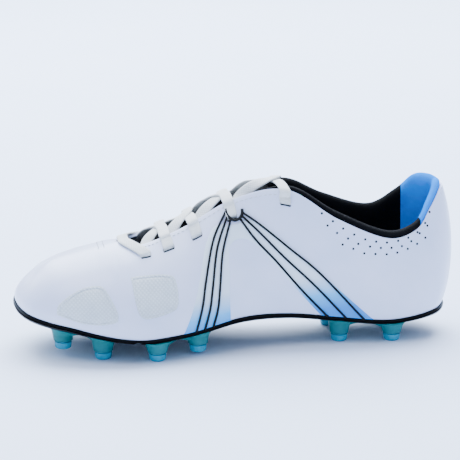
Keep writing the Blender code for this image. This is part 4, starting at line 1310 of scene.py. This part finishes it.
@dataclass
class StudPair:
    """Two studs on one side and the rib between them."""

    zone: str
    side: Side
    studs: tuple
    tip_height: float = 5.0
    groove_radius: float = 5.6
    base_radius: float = 7.8
    slices: int = 40
    # (radius beyond the base's own, distance below the plate) of the flare, from the plate down
    flare: tuple = ((0.0, -0.6), (2.9, -0.2), (1.8, 0.5), (0.8, 1.3), (-0.1, 2.4), (-0.75, 3.6))

    def turned(self, name: str, x: float, y: float, rings: Sequence) -> bpy.types.Object:
        """A turned piece from (radius, height) rings; a height may be a function of plan places."""

        def place(i: Points, a: Points) -> Points:
            """Points round each ring."""
            turn = a * 2.0 * math.pi
            points = np.zeros((len(i), 3))
            for n, (radius, height) in enumerate(rings):
                here = i.astype(int) == n
                px = x + radius * np.cos(turn[here])
                py = y + radius * np.sin(turn[here])
                pz = height(px, py) if callable(height) else np.full(len(px), height)
                points[here] = np.stack((px, py, pz), 1)
            return points

        obj = lay_grid(name, range(len(rings)), span(0.0, 1.0, self.slices), place, (20.0, 45.0))
        merge(obj, 0.005)
        return obj

    def base(self, x: float, y: float, tip: float) -> bpy.types.Object:
        """The flared base of one stud."""
        foot = tip + self.tip_height
        root = float(LAST.under_plate(np.array([x]), np.array([y]))[0])

        def near_plate(drop: float) -> Callable[[Points, Points], Points]:
            """Heights some way below the plate's underside."""
            return lambda px, py: LAST.under_plate(px, py) - drop

        reach = root - foot
        rings = [(0.0, near_plate(-0.6))]
        rings += [(self.base_radius + out, near_plate(drop)) for out, drop in self.flare]
        waist = self.groove_radius + 0.35
        rings += [(waist + 1.5 * share, foot + share * reach) for share in (0.3, 0.15, 0.06)]
        rings += [(self.groove_radius + 0.1, foot + 0.25), (self.groove_radius - 0.5, foot + 0.05)]
        rings.append((0.0, foot))
        return self.turned("base", x, y, rings)

    def rib(self) -> bpy.types.Object:
        """The rib between the studs, deeper and wider beside each."""
        (x0, y0, _), (x1, y1, _) = self.studs
        a, b = np.array((x0, y0)), np.array((x1, y1))
        length = float(np.linalg.norm(b - a))
        across = np.array((-(b - a)[1], (b - a)[0])) / length
        shape = np.array([(math.cos(q), math.sin(q)) for q in np.linspace(math.pi, 0.0, 15)])

        def place(s: Points, k: Points) -> Points:
            """Points round the rib: its bow, then the flat lid inside the plate."""
            near = np.minimum(s, 1.0 - s) * length
            swell = np.exp(-((near / 8.5) ** 2))
            k = k.astype(int) % (len(shape) + 2)
            lid = k >= len(shape)
            bow = shape[np.minimum(k, len(shape) - 1)]
            offset = np.where(lid, np.where(k == len(shape), 1.0, -1.0), bow[:, 0]) * (2.6 + 3.6 * swell)
            plan = a + (b - a) * s[:, None] + across * offset[:, None]
            depth = np.where(lid, -0.6, -0.3 + (2.5 + 4.2 * swell) * bow[:, 1] ** 0.8)
            return np.column_stack((plan, LAST.under_plate(plan[:, 0], plan[:, 1]) - depth))

        obj = lay_grid("rib", span(0.02, 0.98, 40), range(len(shape) + 3), place, (24.0, 12.0))
        merge(obj, 0.005)
        return obj

    def tip(self, x: float, y: float, tip: float) -> bpy.types.Object:
        """The rounded tip under the groove."""
        r, h = self.groove_radius, self.tip_height
        rings = ((0.0, h + 0.3), (r - 1.1, h + 0.3), (r - 1.05, h - 0.35), (r - 0.3, h - 0.6),
                 (r - 0.2, h - 1.6), (r - 0.45, 1.6), (r - 0.7, 0.75), (r - 1.2, 0.25), (r - 1.9, 0.02),
                 (r - 3.0, 0.0), (0.0, 0.0))
        return self.turned("tip", x, y, [(radius, tip + z) for radius, z in rings])

    def build(self) -> None:
        """Makes the frame and its two tips."""
        name = f"{self.zone}_{self.side.name.lower()}"
        frame = join([self.base(*stud) for stud in self.studs] + [self.rib()], f"stud_base_{name}")
        done(frame, TEAL, (f"stud_frame_{name}",), None, 50.0)
        for stud, end in zip(self.studs, ("front", "rear")):
            tip = self.tip(*stud)
            tip.name = f"tip_{name}_{end}"
            done(tip, TIP, (f"stud_tip_{name}_{end}",), None, 45.0)


# x, distance from the middle on the lateral side and on the medial side, and height of the tip
STUDS = {"toe": ((-113.0, 17.0, 18.0, 4.0), (-89.0, 29.6, 29.0, 0.0)),
         "ball": ((-56.0, 38.5, 35.0, 0.0), (-29.5, 30.0, 28.0, 2.0)),
         "heel": ((64.0, 16.5, 17.0, 0.0), (97.7, 20.7, 21.0, 0.0))}


@dataclass
class Sockliner:
    """The loose foam foot bed in its three stretches."""

    inset: float = 5.0
    base: float = 1.8
    thick: float = 3.5
    # stations where the front stretch starts and the heel's ends, x of the two cuts, and half a cut's width
    start: float = 0.35
    end: float = 15.75
    cuts: tuple = (-73.5, -22.0)
    half_cut: float = 0.03

    def piece(self, name: str, low: float, high: float) -> bpy.types.Object:
        """A rounded slab of the foot bed between two stations."""
        section = np.array([(-0.97, 0.0), (-1.0, 0.3), (-1.0, 0.75), (-0.97, 1.0)]
                           + [(t, 1.0) for t in span(-0.9, 0.9, 12)]
                           + [(0.97, 1.0), (1.0, 0.75), (1.0, 0.3), (0.97, 0.0)]
                           + [(t, 0.0) for t in span(0.9, -0.9, 12)])

        def place(u: Points, k: Points) -> Points:
            """Points round the slab at each station."""
            points = LAST.sole(u, section[k, 0], self.inset, True)
            points[:, 2] += self.base + self.thick * section[k, 1]
            return points

        return tube(name, span(low, high, 60), len(section), place, (140.0, 90.0), 0.02)

    def build(self) -> None:
        """Makes the three stretches."""
        flex, split = LAST.station(np.array(self.cuts))
        half = self.half_cut
        limits = (("forefoot", self.start, flex - half, None), ("ball", flex + half, split - half, None),
                  ("heel", split + half, self.end, Body.SOCK))
        for name, low, high, body in limits:
            obj = self.piece(f"foot_bed_{name}", low, high)
            done(obj, SOCK, (f"sockliner_{name}",), body, 50.0)


# ------------------------------------------------------------------------------------------- the scene
CAD_FINISHES = (("insole_board", BOARD), ("toe_puff", BOARD), ("heel_counter", COUNTER), ("lace_tip", AGLET))


def dress_cad(nodes: dict) -> None:
    """Gives the hidden CAD parts that stay their real materials."""
    for name, obj in nodes.items():
        for word, finish in CAD_FINISHES:
            if word in name:
                dress(obj, finish)


@dataclass(frozen=True)
class Lamp:
    """A square soft light that looks at a point."""

    name: str
    place: tuple[float, float, float]
    aim: tuple[float, float, float]
    size: float
    power: float
    tint: str

    def build(self) -> None:
        """Puts the light in the scene."""
        deselect()
        bpy.ops.object.light_add(type="AREA", location=self.place)
        light = bpy.context.object
        light.name = self.name
        light.rotation_euler = (Vector(self.aim) - Vector(self.place)).to_track_quat("-Z", "Y").to_euler()
        light.data.shape = "SQUARE"
        light.data.size = self.size
        light.data.energy = self.power
        light.data.color = colour(self.tint)[:3]


@dataclass
class Studio:
    """The paper floor, the sky, the lights and the camera; lengths are in metres."""

    floor_size: float = 12.0
    sky_tint: str = "#C4D8FF"
    sky_strength: float = 1.4
    lamps: tuple[Lamp, ...] = (
        Lamp("key", (-0.5, -0.5, 1.5), (0.0, 0.0, 0.05), 0.9, 14.0, "#F4F8FF"),
        Lamp("top", (0.1, 1.35, 1.85), (0.0, 0.4, 0.0), 2.6, 290.0, "#E6F0FF"),
        Lamp("rear", (-1.1, 1.0, 0.9), (-0.1, 0.0, 0.05), 0.7, 9.0, "#F6FAFF"))
    turn: float = math.radians(9.0)
    fall: float = math.radians(14.5)
    aim: tuple[float, float, float] = (-0.00345, 0.00125, 0.07147)
    distance: float = 1.1
    lens: float = 135.1

    def floor(self) -> None:
        """Lays the paper."""
        bpy.ops.mesh.primitive_grid_add(x_subdivisions=8, y_subdivisions=8, size=self.floor_size)
        floor = bpy.context.object
        floor.name = "floor"
        dress(floor, PAPER)

    def sky(self) -> None:
        """Gives the world its even light."""
        world = bpy.context.scene.world or bpy.data.worlds.new("World")
        bpy.context.scene.world = world
        world.use_nodes = True
        nodes = world.node_tree.nodes
        sky = nodes.get("Background") or nodes.new("ShaderNodeBackground")
        sky.inputs["Color"].default_value = colour(self.sky_tint)
        sky.inputs["Strength"].default_value = self.sky_strength

    def camera(self) -> None:
        """Looks at the lateral side, a little from the front and from above."""
        flat = math.cos(self.fall)
        look = Vector((math.sin(self.turn) * flat, math.cos(self.turn) * flat, -math.sin(self.fall)))
        place = Vector(self.aim) - look * self.distance
        bpy.ops.object.camera_add(location=place, rotation=look.to_track_quat("-Z", "Y").to_euler())
        camera = bpy.context.object
        camera.data.sensor_width = 36.0
        camera.data.lens = self.lens
        bpy.context.scene.camera = camera

    def build(self) -> None:
        """Sets the whole stage."""
        self.floor()
        self.sky()
        for lamp in self.lamps:
            lamp.build()
        self.camera()


def main() -> None:
    """Builds the boot around the frame."""
    logging.basicConfig(level=logging.INFO, format="%(name)s: %(message)s")
    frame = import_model()
    Upper().build()
    Collar().build()
    Tongue().build()
    for side in Side:
        FRONT_PAD.build(side)
        REAR_PAD.build(side)
        SupportBand().build(side)
        for zone, studs in STUDS.items():
            column = 1 if side is Side.LATERAL else 2
            StudPair(zone, side, tuple((s[0], side.value * s[column], s[3]) for s in studs)).build()
    Lace().build()
    Plate().build()
    Sockliner().build()
    dress_cad(frame["nodes"])
    Studio().build()


if __name__ == "__main__":
    main()
